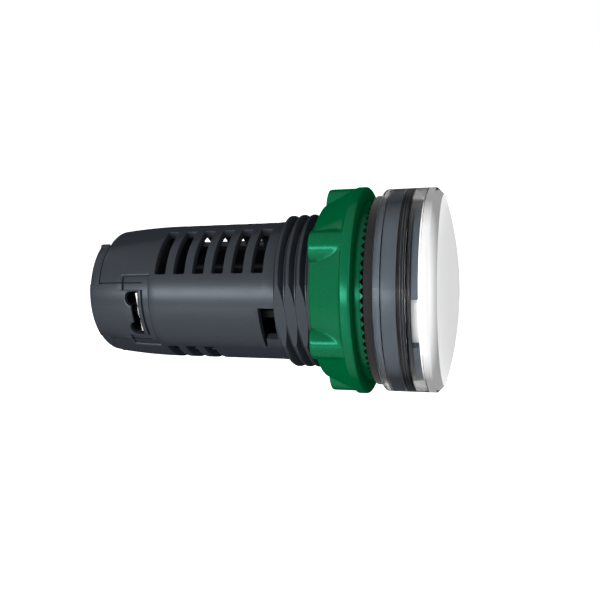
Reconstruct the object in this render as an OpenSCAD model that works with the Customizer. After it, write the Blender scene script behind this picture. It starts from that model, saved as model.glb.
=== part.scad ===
// Panel pilot light for a round 22 mm panel hole, in millimetres.
// The origin is the centre of the panel hole on the panel's front face.
// The lens faces -Y, +Z is up, and the two wire sides face -X and +X.

/* [Barrel] */
// Outer radius of the barrel where the thread begins
barrel_r = 9.97; // [9.7:0.01:9.99]
// Wall of the barrel
barrel_wall = 0.95; // [0.8:0.05:1.1]
// How far the barrel's tongues reach behind the panel
barrel_len = 39.2; // [38.6:0.1:40]
// How much the barrel narrows over its length, by mould draft
barrel_draft = 0.14; // [0.05:0.01:0.25]
// Where the barrel's rear end starts to round in, measured from its end
tail_len = 9.2; // [8.8:0.1:9.6]
// How much the rear end rounds in
tail_drop = 0.5; // [0.3:0.05:0.6]

/* [Thread] */
// Major diameter of the thread
thread_d = 21.9; // [21.8:0.02:22]
// Pitch of the thread
thread_pitch = 1.5; // [1.5:0.01:1.52]
// Depth of the thread
thread_depth = 0.88; // [0.82:0.01:0.9]
// Width of the thread's crest
crest_w = 0.36; // [0.3:0.01:0.4]
// Where the thread runs out towards the barrel, behind the panel
thread_back = 14.75; // [14.7:0.01:14.85]
// Distance from the axis to each of the two flats on the thread
flat_r = 10.02; // [9.98:0.01:10.04]

/* [Vents] */
// Number of upper vents on each side
vent_count = 6; // [4:1:6]
// Number of lower vents on each side
low_vent_count = 3; // [2:1:3]
// Width of a vent
vent_w = 1.7; // [1.4:0.05:1.9]
// Spacing of the vents
vent_pitch = 2.88; // [2.8:0.02:2.9]
// Middle of the rearmost vent, behind the panel
vent_first = 29.42; // [29.2:0.02:29.6]
// Lower end of the vents, above the wire sides, in degrees
vent_low_deg = 33.5; // [32:0.5:35]
// Upper end of the vents, in degrees
vent_high_deg = 80; // [76:0.5:81]

/* [Head] */
// Diameter of the head
head_d = 28; // [27.8:0.05:28.4]
// Thickness of the gasket
gasket_t = 1.2; // [1.1:0.05:1.3]
// How far the gasket's edge stays inside the head's edge
gasket_inset = 0.85; // [0.7:0.05:1.1]
// How far the head's rim stands in front of the panel
rim_front = 8.0; // [7.9:0.05:8.2]
// How far the lens dome stands in front of the panel
dome_front = 10.8; // [10.5:0.05:11]
// Wall of the clear cap around the diffuser
cap_wall = 1.4; // [1.2:0.05:1.45]

/* [Nut] */
// How far the nut's flange stands out past the head's edge
nut_lip = 0.45; // [0.3:0.05:0.6]
// Length of the nut behind the panel
nut_len = 7.2; // [7:0.05:7.4]
// Length of the nut's flange, from its rear edge to the panel
flange_len = 2.75; // [2.6:0.05:2.9]
// Number of grip ribs
rib_count = 6; // [5:1:6]
// Number of teeth on the grip ring
tooth_count = 78; // [72:1:80]
// Height of a tooth
tooth_h = 0.5; // [0.4:0.05:0.55]

/* [Terminals] */
// Distance from the axis to a terminal screw
screw_x = 5.9; // [5.85:0.05:5.95]
// Diameter of a terminal screw
screw_d = 2.9; // [2.8:0.05:2.95]
// Diameter of a screw's head
screw_head_d = 4.6; // [4.4:0.05:4.7]
// Diameter of a wire hole
wire_d = 2.14; // [2.1:0.02:2.2]
// Distance of a wire hole above or below the screw
wire_y = 2.25; // [2.2:0.01:2.3]
// Thickness of the terminal plates and clamp plates
plate_t = 0.8; // [0.7:0.05:0.9]
// How far a clamp plate travels to close on its wires
clamp_travel = 2.0; // [1.9:0.05:2.1]

/* [Boards] */
// Thickness of the circuit boards
board_t = 1.0; // [0.9:0.05:1.1]
// Width of the power board
board_w = 15.5; // [15.3:0.1:15.6]
// Height of the power board's top face over the axis
board_y = -0.1; // [-0.2:0.05:0]
// Diameter of the dropper capacitor's box, across its width
dropper_w = 7.2; // [6.8:0.1:7.4]
// Diameter of the smoothing capacitor
can_d = 6.3; // [6:0.1:6.5]
// Number of light chips in the ring
chip_count = 6; // [5:1:7]

/* [Hidden] */
$fn = 96;

// Colours
housing_colour = [0.22, 0.24, 0.27];
nut_colour = [0.0, 0.42, 0.25];
rubber_colour = [0.08, 0.08, 0.08];
clear_colour = [0.85, 0.87, 0.9, 0.35];
white_colour = [0.95, 0.95, 0.94];
board_colour = [0.07, 0.24, 0.15];
metal_colour = [0.78, 0.78, 0.76];

// Clearances between pieces
eps = 0.01;
run_gap = 0.1;
seat_gap = 0.05;
slip_gap = 0.2;

// Barrel
tongue_r = barrel_r - barrel_draft - tail_drop;
bore_r = barrel_r - barrel_draft - barrel_wall;
tail_steps = 6;

// Thread
thread_r = thread_d / 2;
root_r = thread_r - thread_depth;
thread_wall = 1.29;
thread_bore_r = root_r - thread_wall;
flank = tan(30);
thread_turns = 8;
thread_seg = 48;
thread_phase = -2.5;
thread_front = thread_back - (thread_turns + 1) * thread_pitch;
thread_gap = 0.1;
neck_r = thread_r - 0.05;

// Head, measured forwards from the panel
head_r = head_d / 2;
hook_front = gasket_t + 1.1;
rib_front = gasket_t + 2.95;
seal_front = gasket_t + 4.0;
crown_front = gasket_t + 5.4;
crown_notch = 0.95;
notch_deg = 14.4;
hook_r = head_r - 1.1;
rib_r = head_r - 0.4;
crown_r = head_r - cap_wall - 0.3;
cup_r = crown_r - 1.0;
cup_floor = gasket_t + 1.4;
seal_r = crown_r;
cap_in_r = head_r - cap_wall;
edge_round = 0.75;
rim_drop = 0.95;
dome_base = rim_front + 0.95;
dome_base_r = head_r - rim_drop;
dome_rise = dome_front - dome_base;
dome_r = (dome_base_r * dome_base_r + dome_rise * dome_rise) / (2 * dome_rise);
lens_wall = 1.5;
diffuser_wall = 1.0;

// Nut and grip ring
nut_r = head_r + nut_lip;
hub_r = nut_r - 2.25;
rib_land_r = nut_r - 0.1;
rib_half_w = 2.05;
rib_base_half_w = 2.6;
rib_phase = 13.5;
flange_round = 0.7;
gasket_r = head_r - gasket_inset;
ring_r = gasket_r + 0.25;
ring_bore_r = thread_r + 0.2;
ring_t = 0.8;
ring_back = tooth_h + ring_t;
tooth_in_r = ring_r - 1.0;
tooth_w = 2 * PI * tooth_in_r / tooth_count - 0.02;

// Rear end and terminals, measured back from the panel
cap_len = barrel_len + 1.8;
cap_end_r = tongue_r - 0.2;
cheek_deg = 27.4;
cheek_gap = 0.08;
pad_groove_w = 6.24;
window_front = barrel_len - 6.9;
window_deg = 20.4;
lobe_back = barrel_len - 5.35;
recess_deg = 32.6;
recess_depth = 0.3;
recess_back = barrel_len - 3.8;
recess_front = barrel_len - 7.9;
plug_r = bore_r - run_gap;
plug_front = barrel_len - 8.6;
plate_back = barrel_len - 5.7;
plate_x0 = 3.4;
plate_x1 = 8.0;
plate_half_h = 2.9;
face_x1 = plate_x1 - 0.4;
clamp_back = plate_back + clamp_travel + seat_gap + plate_t;
clamp_slack = 0.15;
head_t = 1.7;
shank_len = 4.2;
screw_gap = 0.05;
leg_x = 3.8;
leg_len = 4.6;
leg_half_h = 1.1;

// Boards and what stands on them, measured back from the panel
board_back = barrel_len - 9.4;
board_front = -cup_floor + seat_gap;
under_y = board_y - board_t;
rail_y = 1.6;
rail_back = board_back - 0.2;
rail_x = board_w / 2 - 0.5;
led_board_r = cup_r - run_gap;
led_face = cup_floor + board_t;
chip_ring_r = cup_r - 4.9;
chip = [3.4, 2.8, 0.9];
dropper_back = board_back - 2.4;
dropper_x = 1.2;
can_len = 11;
can_back = 12.6;
can_gap = 2.3;
dropper = [dropper_w, 5.0, dropper_back - can_back - can_gap];
rail_front = can_back + 4.4;
bridge = [6.4, 2.6, 5.0];
bridge_back = board_back - 4.4;
varistor_r = 3.5;
varistor_t = 2.7;
varistor_gap = 2.7;
varistor_z = bridge_back - bridge[2] - varistor_gap - varistor_r;
resistor_d = 2.4;
resistor_len = 6.4;
resistor_y = board_y + resistor_d / 2 + 0.2;
series_x = -4.6;
series_back = board_back - 3.8;
bleed_x = 6.2;
bleed_back = 12;
lead_d = 0.6;

// The frame: what is drawn forwards along +Z here faces -Y in the part
module in_frame() {
    rotate([90, 0, 0]) children();
}

// A revolved ring between two radii, from back to front
module ring(outer_r, inner_r, back, front) {
    translate([0, 0, back])
        difference() {
            cylinder(r = outer_r, h = front - back);
            translate([0, 0, -eps]) cylinder(r = inner_r, h = front - back + 2 * eps);
        }
}

// A wedge of a disc around the direction mid_deg, cut back to back_z and front to front_z
module wedge(mid_deg, half_deg, reach, back, front) {
    translate([0, 0, back])
        linear_extrude(front - back)
            polygon([
                [0, 0],
                [reach * cos(mid_deg - half_deg), reach * sin(mid_deg - half_deg)],
                [reach * cos(mid_deg), reach * sin(mid_deg)] / cos(half_deg),
                [reach * cos(mid_deg + half_deg), reach * sin(mid_deg + half_deg)]
            ]);
}

// Radius of the barrel's skin at a place behind the panel
function skin_r(back) =
    barrel_r
    - barrel_draft * max(0, (back - thread_back) / (barrel_len - thread_back))
    - tail_drop * pow(max(0, (back - barrel_len + tail_len) / tail_len), 2);

// Points of the barrel's skin from one place to another, both behind the panel
function skin_points(from, to, less = 0) = [
    for (i = [0 : tail_steps])
        let (back = from + (to - from) * i / tail_steps)
            [skin_r(back) - less, -back]
];

// Share of the full thread height at a turn, with a run-out at both ends
function thread_share(turn, turns) = max(0, min(1, turn, (turns - turn) / 0.6));

// A threaded rod as one closed mesh with flat ends, from back_z forwards over turns + 1 pitches
module thread_rod(low_r, high_r, half_crest, half_base, pitch, back_z, turns, phase) {
    rows = 4 * turns;
    places = [0.5 - half_base / pitch, 0.5 - half_crest / pitch, 0.5 + half_crest / pitch,
        0.5 + half_base / pitch];
    heights = [0, 1, 1, 0];
    function spot(i, m) =
        let (
            k = floor(m / 4),
            j = m - 4 * k,
            turn = k + i / thread_seg,
            a = phase + 360 * i / thread_seg,
            r = low_r + (high_r - low_r) * heights[j] * thread_share(turn, turns)
        )
            [r * cos(a), r * sin(a), back_z + pitch * (turn + (m == 0 ? 0 : places[j]) - (m == 0 ? 0 : places[0]))];
    function rim(i, z) = [low_r * cos(phase + 360 * i / thread_seg),
        low_r * sin(phase + 360 * i / thread_seg), z];
    front_z = back_z + pitch * (turns + 1);
    last = thread_seg - 1;
    first = [for (m = [0 : rows + 3]) spot(0, m)];
    points = concat(
        first,
        [rim(0, front_z)],
        [for (i = [1 : last]) for (m = [0 : rows]) spot(i, m)],
        [for (i = [1 : last]) rim(i, back_z)],
        [for (i = [1 : last]) rim(i, front_z)]
    );
    function at(i, m) =
        i == 0 ? m
        : i == thread_seg ? m + 4
        : (rows + 5) + (i - 1) * (rows + 1) + m;
    low = (rows + 5) + last * (rows + 1);
    function bottom(i) = low + i - 1;
    function top(i) = low + last + i - 1;
    faces = concat(
        [for (i = [0 : last]) for (m = [0 : rows - 1])
            each [[at(i, m), at(i, m + 1), at(i + 1, m + 1)], [at(i, m), at(i + 1, m + 1), at(i + 1, m)]]],
        [[at(0, 0), at(1, 0), bottom(1)]],
        [for (i = [1 : last - 1]) [bottom(i), at(i, 0), at(i + 1, 0), bottom(i + 1)]],
        [for (j = [0 : 3]) [bottom(last), at(0, j + 1), at(0, j)]],
        [[bottom(last), at(last, 0), at(0, 4)]],
        [[at(1, rows), at(0, rows + 4), top(1)]],
        [for (j = [0 : 3]) [at(1, rows), at(0, rows + j), at(0, rows + j + 1)]],
        [for (i = [1 : last - 1]) [at(i, rows), top(i), top(i + 1), at(i + 1, rows)]],
        [[at(last, rows), top(last), at(0, rows + 4)]],
        [concat([at(0, 0)], [for (i = [1 : last]) bottom(i)])],
        [concat([for (i = [last : -1 : 1]) top(i)], [at(0, rows + 4)])]
    );
    polyhedron(points = points, faces = faces, convexity = 12);
}

// The outside thread of the barrel
module barrel_thread() {
    half_crest = crest_w / 2;
    thread_rod(root_r, thread_r, half_crest, half_crest + thread_depth * flank, thread_pitch,
        -thread_back, thread_turns, thread_phase);
}

// The shape that the nut's thread is cut with: the barrel's thread with its clearance
module nut_tap() {
    low_r = root_r + 0.2;
    high_r = thread_r + 0.15;
    mid_half = crest_w / 2 + thread_gap;
    thread_rod(low_r, high_r, mid_half + (thread_r - high_r) * flank, mid_half + (thread_r - low_r) * flank,
        thread_pitch, -thread_back + 3 * thread_pitch, thread_turns - 1, thread_phase);
}

// A fan of vents between two angles on one side, all along the barrel
module vents(count, from_deg, to_deg) {
    for (i = [0 : count - 1])
        wedge((from_deg + to_deg) / 2, abs(to_deg - from_deg) / 2, barrel_r + 2,
            -vent_first + i * vent_pitch - vent_w / 2, -vent_first + i * vent_pitch + vent_w / 2);
}

// Vents on both sides, cut only through the wall
module all_vents() {
    difference() {
        union() {
            vents(vent_count, vent_low_deg, vent_high_deg);
            vents(vent_count, 180 - vent_high_deg, 180 - vent_low_deg);
            vents(low_vent_count, -vent_high_deg, -vent_low_deg);
            vents(low_vent_count, 180 + vent_low_deg, 180 + vent_high_deg);
        }
        cylinder(r = bore_r - 1, h = 3 * cap_len, center = true);
    }
}

// The window beside the thread, with the narrow slot at its lower end
module side_window() {
    window_back = thread_back + 0.15;
    difference() {
        union() {
            wedge(187.75, 13.75, barrel_r + 2, -window_back, -window_back + 2.25);
            wedge(206, 5.5, barrel_r + 2, -window_back, -window_back + 0.4);
        }
        cylinder(r = thread_bore_r - 1, h = 3 * cap_len, center = true);
    }
}

// The two rails that hold the edges of the power board
module board_rails() {
    for (side = [-1, 1])
        intersection() {
            difference() {
                translate([side * (rail_x + 2), board_y - board_t / 2, -(rail_back + rail_front) / 2])
                    cube([4, board_t + 2 * rail_y, rail_back - rail_front], center = true);
                translate([0, board_y - board_t / 2, -(rail_back + rail_front) / 2])
                    cube([board_w + 2 * run_gap, board_t + 2 * seat_gap, rail_back - rail_front + 1],
                        center = true);
            }
            cylinder(r = bore_r + 0.3, h = 3 * cap_len, center = true);
        }
}

module barrel_housing() {
    color(housing_colour)
        in_frame() {
            difference() {
                union() {
                    rotate_extrude()
                        polygon(concat(
                            [[0, -barrel_len]],
                            [for (i = [0 : tail_steps]) skin_points(barrel_len, barrel_len - tail_len)[i]],
                            [[skin_r(thread_back), -thread_back], [0, -thread_back]]
                        ));
                    barrel_thread();
                    translate([0, 0, -thread_front]) cylinder(r = neck_r, h = thread_front + gasket_t);
                    rotate_extrude()
                        polygon([
                            [0, gasket_t],
                            [hook_r - run_gap, gasket_t],
                            [hook_r - run_gap, hook_front + run_gap / 2],
                            [rib_r - run_gap - 0.2, hook_front + run_gap / 2],
                            [rib_r - run_gap, hook_front + 0.3],
                            [rib_r - run_gap, rib_front],
                            [crown_r, rib_front],
                            [crown_r, crown_front - 0.15],
                            [crown_r - 0.15, crown_front],
                            [0, crown_front]
                        ]);
                }
                translate([0, 0, -barrel_len - 1])
                    cylinder(r = bore_r, h = barrel_len - thread_back + 1);
                translate([0, 0, -thread_back - eps])
                    cylinder(r = thread_bore_r, h = thread_back + cup_floor + 1);
                translate([0, 0, cup_floor]) cylinder(r = cup_r, h = rim_front);
                for (side = [-1, 1])
                    translate([side * 1.5 * flat_r, 0, -thread_back / 2])
                        cube([flat_r, 3 * flat_r, thread_back + 2 * eps], center = true);
                all_vents();
                side_window();
                rotate([0, 0, 180]) side_window();
                for (mid = [0, 180]) {
                    wedge(mid, cheek_deg, barrel_r + 2, -barrel_len - 1, -window_front);
                    difference() {
                        wedge(mid, recess_deg, barrel_r + 2, -recess_back, -recess_front);
                        cylinder(r = skin_r(recess_back) - recess_depth, h = 3 * cap_len, center = true);
                    }
                    wedge(mid, notch_deg, head_r, crown_front - crown_notch, crown_front + 1);
                }
            }
            board_rails();
        }
}

// The hollow of one terminal: the screw's well, the clamp's room, the plate's slot and the wire window
module terminal_hollow() {
    translate([screw_x, 0, -cap_len - 1])
        cylinder(d = screw_head_d + 2 * run_gap + 0.1, h = cap_len + 1 - plate_back);
    translate([plate_x0 - clamp_slack, -plate_half_h - clamp_slack, -clamp_back - 0.6])
        cube([plate_x1 - plate_x0 + 2 * clamp_slack, 2 * (plate_half_h + clamp_slack),
            clamp_back + 0.6 - plate_back + eps]);
    translate([plate_x0 - seat_gap, -plate_half_h - seat_gap, -plate_back])
        cube([plate_x1 - plate_x0 + 2 * seat_gap, 2 * (plate_half_h + seat_gap), plate_t + seat_gap]);
    translate([screw_x, 0, -plate_back]) cylinder(r = screw_d / 2 + 0.6, h = 10);
    translate([leg_x - plate_t / 2 - seat_gap - 0.4, -plate_half_h, -plate_back])
        cube([plate_t + 2 * seat_gap + 0.4, 2 * plate_half_h, 10]);
    intersection() {
        wedge(0, window_deg, barrel_r + 2, -barrel_len + 5.3, -window_front + 1);
        translate([plate_x1 - 0.2, -barrel_r, -barrel_len]) cube([barrel_r, 2 * barrel_r, barrel_len]);
    }
    for (up = [-1, 1])
        translate([plate_x1 + clamp_slack - eps, up * wire_y, -lobe_back])
            rotate([0, 90, 0]) cylinder(d = wire_d, h = barrel_r);
}

module terminal_block() {
    color(housing_colour)
        in_frame()
            difference() {
                union() {
                    translate([0, 0, -barrel_len]) cylinder(r = plug_r, h = barrel_len - plug_front);
                    intersection() {
                        union() {
                            wedge(0, cheek_deg - cheek_gap / 2, barrel_r + 2, -barrel_len, -window_front - cheek_gap);
                            wedge(180, cheek_deg - cheek_gap / 2, barrel_r + 2, -barrel_len, -window_front - cheek_gap);
                        }
                        rotate_extrude()
                            polygon(concat(
                                [[0, -barrel_len]],
                                skin_points(barrel_len, barrel_len - tail_len),
                                [[0, -barrel_len + tail_len]]
                            ));
                    }
                    difference() {
                        rotate_extrude()
                            polygon([
                                [0, -cap_len],
                                [cap_end_r - 0.35, -cap_len],
                                [cap_end_r, -cap_len + 0.35],
                                [tongue_r, -barrel_len - cheek_gap],
                                [plug_r, -barrel_len],
                                [0, -barrel_len]
                            ]);
                        translate([-pad_groove_w / 2, -2 * cap_end_r, -cap_len - 1])
                            cube([pad_groove_w, 4 * cap_end_r, cap_len + 1 - barrel_len]);
                    }
                }
                for (mid = [0, 180])
                    difference() {
                        wedge(mid, recess_deg, barrel_r + 2, -recess_back, -recess_front);
                        cylinder(r = skin_r(recess_back) - recess_depth, h = 3 * cap_len, center = true);
                    }
                terminal_hollow();
                mirror([1, 0, 0]) terminal_hollow();
            }
}

// Cross-section of one grip rib, pointing along +X
module rib_section() {
    corner = 0.55;
    arc = [for (i = [0 : 4]) [rib_land_r - corner + corner * sin(90 - 22.5 * i),
        rib_half_w - corner + corner * cos(90 - 22.5 * i)]];
    right = concat([[hub_r - 1, rib_base_half_w + 0.2], [hub_r + 0.5, rib_base_half_w - 0.15]],
        [for (i = [4 : -1 : 0]) arc[i]]);
    polygon(concat(right, [for (i = [len(right) - 1 : -1 : 0]) [right[i][0], -right[i][1]]]));
}

module fixing_nut() {
    flange_front = tooth_h + 0.1;
    color(nut_colour)
        in_frame()
            difference() {
                union() {
                    rotate_extrude()
                        polygon(concat(
                            [[0, -nut_len], [hub_r - 0.25, -nut_len], [hub_r, -nut_len + 0.25],
                                [nut_r - 0.25, -flange_len], [nut_r, -flange_len]],
                            [for (i = [0 : 5])
                                [nut_r - flange_round + flange_round * cos(18 * i),
                                    -flange_front - flange_round + flange_round * sin(18 * i)]],
                            [[0, -flange_front]]
                        ));
                    intersection() {
                        for (i = [0 : rib_count - 1])
                            rotate([0, 0, rib_phase + 360 * i / rib_count])
                                translate([0, 0, -nut_len])
                                    linear_extrude(nut_len - flange_len + 0.3) rib_section();
                        rotate_extrude()
                            polygon([
                                [0, -nut_len],
                                [rib_land_r - 0.5, -nut_len],
                                [rib_land_r - 0.15, -nut_len + 0.15],
                                [rib_land_r, -nut_len + 0.5],
                                [rib_land_r + 0.05, -flange_len + 0.5],
                                [0, -flange_len + 0.5]
                            ]);
                    }
                }
                nut_tap();
                translate([0, 0, -ring_back - seat_gap]) cylinder(r = ring_r + run_gap, h = 5);
                translate([0, 0, -nut_len - eps])
                    cylinder(r1 = thread_r + 0.3, r2 = root_r, h = thread_depth + 0.3);
            }
}

module grip_ring() {
    color(nut_colour)
        in_frame() {
            difference() {
                translate([0, 0, -ring_back]) cylinder(r = ring_r, h = ring_t);
                intersection() {
                    translate([0, 0, -ring_back - 1]) cylinder(r = ring_bore_r, h = ring_t + 2);
                    cube([2 * (flat_r + run_gap), 40, 40], center = true);
                }
            }
            for (i = [0 : tooth_count - 1])
                rotate([0, 0, 360 * i / tooth_count])
                    translate([tooth_in_r, 0, -tooth_h - eps])
                        rotate([90, 0, 90])
                            linear_extrude(ring_r - tooth_in_r - 0.05)
                                polygon([[-tooth_w / 2, 0], [tooth_w / 2, 0], [0, tooth_h - seat_gap]]);
        }
}

module panel_gasket() {
    lip = 0.15;
    in_r = neck_r + run_gap;
    out_r = gasket_r;
    color(rubber_colour)
        in_frame()
            rotate_extrude()
                polygon([
                    [in_r, 0], [out_r - lip, 0], [out_r, lip], [out_r, gasket_t - lip],
                    [out_r - lip, gasket_t - 0.02], [in_r, gasket_t - 0.02]
                ]);
}

module lens_seal() {
    in_r = seal_r + seat_gap;
    out_r = rib_r - run_gap;
    lip = 0.25;
    back = rib_front + seat_gap;
    front = seal_front;
    color(rubber_colour)
        in_frame()
            rotate_extrude()
                polygon([
                    [in_r, back + lip], [in_r + lip, back], [out_r - lip, back], [out_r, back + lip],
                    [out_r, front - lip], [out_r - lip, front], [in_r + lip, front], [in_r, front - lip]
                ]);
}

// Points of a dome's profile from its edge to its apex
function dome_points(r, edge_r, apex, steps = 10) = [
    for (i = [0 : steps])
        let (x = edge_r * (1 - i / steps))
            [x, apex - r + sqrt(r * r - x * x)]
];

module diffuser() {
    foot = led_face + seat_gap;
    out_r = cap_in_r - slip_gap;
    stem_r = cup_r - run_gap;
    top = dome_front - lens_wall - slip_gap;
    in_dome = dome_r - lens_wall - slip_gap;
    color(white_colour)
        in_frame()
            rotate_extrude()
                polygon(concat(
                    [[stem_r - diffuser_wall, foot], [stem_r, foot], [stem_r, crown_front + seat_gap],
                        [out_r, crown_front + seat_gap]],
                    dome_points(in_dome, out_r, top),
                    [for (i = [10 : -1 : 0])
                        dome_points(in_dome, stem_r - diffuser_wall, top - diffuser_wall)[i]]
                ));
}

module lens_cap() {
    in_top = dome_front - lens_wall;
    color(clear_colour)
        in_frame()
            rotate_extrude()
                polygon(concat(
                    [[hook_r, gasket_t]],
                    [for (i = [0 : 6])
                        [head_r - edge_round + edge_round * sin(15 * i),
                            gasket_t + edge_round - edge_round * cos(15 * i)]],
                    [[head_r, rim_front - 0.15], [head_r - 0.1, rim_front]],
                    dome_points(dome_r, dome_base_r, dome_front),
                    [for (i = [10 : -1 : 0]) dome_points(dome_r - lens_wall, cap_in_r, in_top)[i]],
                    [[cap_in_r, seal_front + seat_gap], [rib_r, seal_front + seat_gap],
                        [rib_r, hook_front], [hook_r, hook_front - 0.2]]
                ));
}

module led_board() {
    color(white_colour)
        in_frame()
            translate([0, 0, cup_floor])
                cylinder(r = led_board_r, h = board_t);
}

module led_chips() {
    color([0.95, 0.85, 0.4])
        in_frame()
            for (i = [0 : chip_count - 1])
                rotate([0, 0, 360 * i / chip_count])
                    translate([chip_ring_r, 0, led_face])
                        difference() {
                            translate([-chip[0] / 2, -chip[1] / 2, 0]) cube(chip);
                            translate([0, 0, chip[2] - 0.3]) cylinder(r1 = 1.0, r2 = 1.2, h = 0.31, $fn = 24);
                        }
}

module power_board() {
    color(board_colour)
        in_frame()
            difference() {
                translate([-board_w / 2, under_y, -board_back])
                    cube([board_w, board_t, board_back - board_front]);
                for (side = [-1, 1])
                    translate([side * (board_w / 2 + 0.3), under_y - 1, -9])
                        cube([2, board_t + 2, 8], center = false);
            }
}

// A box-shaped part with its long upper edges rounded, standing on the board
module rounded_box(size, edge) {
    linear_extrude(size[2])
        polygon(concat(
            [[-size[0] / 2, 0], [size[0] / 2, 0]],
            [for (i = [0 : 4]) [size[0] / 2 - edge + edge * cos(22.5 * i),
                size[1] - edge + edge * sin(22.5 * i)]],
            [for (i = [0 : 4]) [-size[0] / 2 + edge - edge * sin(22.5 * i),
                size[1] - edge + edge * cos(22.5 * i)]]
        ));
}

module dropper_capacitor() {
    color([0.2, 0.2, 0.22])
        in_frame()
            translate([dropper_x, board_y, -dropper_back]) rounded_box(dropper, 0.5);
}

module smoothing_capacitor() {
    color([0.12, 0.12, 0.16])
        in_frame()
            translate([0, board_y + can_d / 2, -can_back])
                rotate_extrude()
                    polygon([
                        [0, 0], [can_d / 2 - 0.3, 0], [can_d / 2, 0.3], [can_d / 2, 1.2],
                        [can_d / 2 - 0.25, 1.5], [can_d / 2, 1.8], [can_d / 2, can_len - 0.3],
                        [can_d / 2 - 0.3, can_len], [0, can_len]
                    ]);
}

module bridge_rectifier() {
    color([0.1, 0.1, 0.1])
        in_frame()
            mirror([0, 1, 0])
                translate([0, -under_y, -bridge_back]) rounded_box(bridge, 0.4);
}

module varistor() {
    color([0.1, 0.2, 0.45])
        in_frame()
            translate([0, under_y, -varistor_z])
                rotate([90, 0, 0])
                    rotate_extrude()
                        polygon([
                            [0, 0], [varistor_r - 0.5, 0], [varistor_r, 0.5], [varistor_r, varistor_t - 0.5],
                            [varistor_r - 0.5, varistor_t], [0, varistor_t]
                        ]);
}

// An axial resistor lying along the barrel, with its two bent leads
module resistor(x, y, back) {
    waist = resistor_d / 2 - 0.2;
    translate([x, y, -back]) {
        rotate_extrude()
            polygon([
                [0, 0], [waist, 0], [resistor_d / 2, 0.3], [resistor_d / 2, 1.3], [waist, 1.6],
                [waist, resistor_len - 1.6], [resistor_d / 2, resistor_len - 1.3],
                [resistor_d / 2, resistor_len - 0.3], [waist, resistor_len], [0, resistor_len]
            ]);
        translate([0, 0, -1]) cylinder(d = lead_d, h = resistor_len + 2, $fn = 16);
        for (end = [-1, resistor_len + 1])
            translate([0, lead_d / 2, end])
                rotate([90, 0, 0]) cylinder(d = lead_d, h = y - board_y + lead_d / 2, $fn = 16);
    }
}

module series_resistor() {
    color([0.75, 0.72, 0.62])
        in_frame() resistor(series_x, resistor_y, series_back);
}

module bleed_resistor() {
    color([0.35, 0.55, 0.65])
        in_frame() resistor(bleed_x, resistor_y, bleed_back);
}

module board_link() {
    block = [5.0, 2.4, 2.4];
    color(rubber_colour)
        in_frame()
            mirror([0, 1, 0])
                translate([0, -under_y, cup_floor - block[2] - seat_gap]) rounded_box(block, 0.2);
}

// One folded terminal plate: the clamping face with its tapped collar, and the leg down to the board
module terminal_plate() {
    leg_front = plate_back - leg_len;
    difference() {
        union() {
            intersection() {
                translate([plate_x0, -plate_half_h, -plate_back])
                    cube([face_x1 - plate_x0, 2 * plate_half_h, plate_t]);
                cylinder(r = plug_r, h = 3 * cap_len, center = true);
            }
            translate([screw_x, 0, -plate_back]) cylinder(r = screw_d / 2 + 0.5, h = plate_t + 0.5);
            translate([plate_x0, board_y, -plate_back])
                cube([plate_t, 2 * leg_half_h, plate_back - leg_front]);
        }
        translate([screw_x, 0, -plate_back - 1]) cylinder(r = screw_d / 2 + screw_gap, h = 5);
    }
}

module terminal_plate_left() {
    color(metal_colour) in_frame() mirror([1, 0, 0]) terminal_plate();
}

module terminal_plate_right() {
    color(metal_colour) in_frame() terminal_plate();
}

// One square clamp plate under the screw's head, with its two side lips bent forwards
module clamp_plate() {
    lip_t = 0.5;
    difference() {
        union() {
            translate([plate_x0, -plate_half_h, -clamp_back])
                cube([plate_x1 - plate_x0, 2 * plate_half_h, plate_t]);
            for (up = [-1, 1])
                translate([plate_x0, up * (plate_half_h - lip_t / 2) - lip_t / 2, -clamp_back])
                    cube([plate_x1 - plate_x0, lip_t, plate_t + 0.4]);
        }
        translate([screw_x, 0, -clamp_back - 1]) cylinder(r = screw_d / 2 + screw_gap, h = 5);
    }
}

module clamp_plate_left() {
    color(metal_colour) in_frame() mirror([1, 0, 0]) clamp_plate();
}

module clamp_plate_right() {
    color(metal_colour) in_frame() clamp_plate();
}

// One terminal screw with a slotted pan head that faces the rear
module terminal_screw() {
    under = clamp_back + 0.02;
    translate([screw_x, 0, 0])
        difference() {
            rotate_extrude()
                polygon([
                    [0, -under - head_t],
                    [screw_head_d / 2 - 0.6, -under - head_t],
                    [screw_head_d / 2 - 0.2, -under - head_t + 0.2],
                    [screw_head_d / 2, -under - head_t + 0.6],
                    [screw_head_d / 2, -under],
                    [screw_d / 2, -under],
                    [screw_d / 2, -under + shank_len - 0.3],
                    [screw_d / 2 - 0.3, -under + shank_len],
                    [0, -under + shank_len]
                ]);
            translate([0, 0, -under - head_t])
                for (turn = [0, 90])
                    rotate([0, 0, turn + 30])
                        cube([turn == 0 ? screw_head_d + 1 : 2.6, 0.7, 1.8], center = true);
        }
}

module terminal_screw_left() {
    color(metal_colour) in_frame() mirror([1, 0, 0]) terminal_screw();
}

module terminal_screw_right() {
    color(metal_colour) in_frame() terminal_screw();
}

barrel_housing();
terminal_block();
fixing_nut();
grip_ring();
panel_gasket();
lens_seal();
diffuser();
lens_cap();
led_board();
led_chips();
power_board();
dropper_capacitor();
smoothing_capacitor();
bridge_rectifier();
varistor();
series_resistor();
bleed_resistor();
board_link();
terminal_plate_left();
terminal_plate_right();
clamp_plate_left();
clamp_plate_right();
terminal_screw_left();
terminal_screw_right();
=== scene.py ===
"""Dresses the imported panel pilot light: clear domed lens, ringed head, green fixing nut and vented barrel.

Sizes are millimetres in the part's own frame until a piece is handed over: the lens faces -Y, the
terminals +Y and +Z is up. Places along the axis are written as "back", which is Y, or as "front", -Y.
"""

from __future__ import annotations

import logging
import math
from collections.abc import Callable, Iterable, Sequence
from dataclasses import dataclass, field
from enum import Enum

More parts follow.
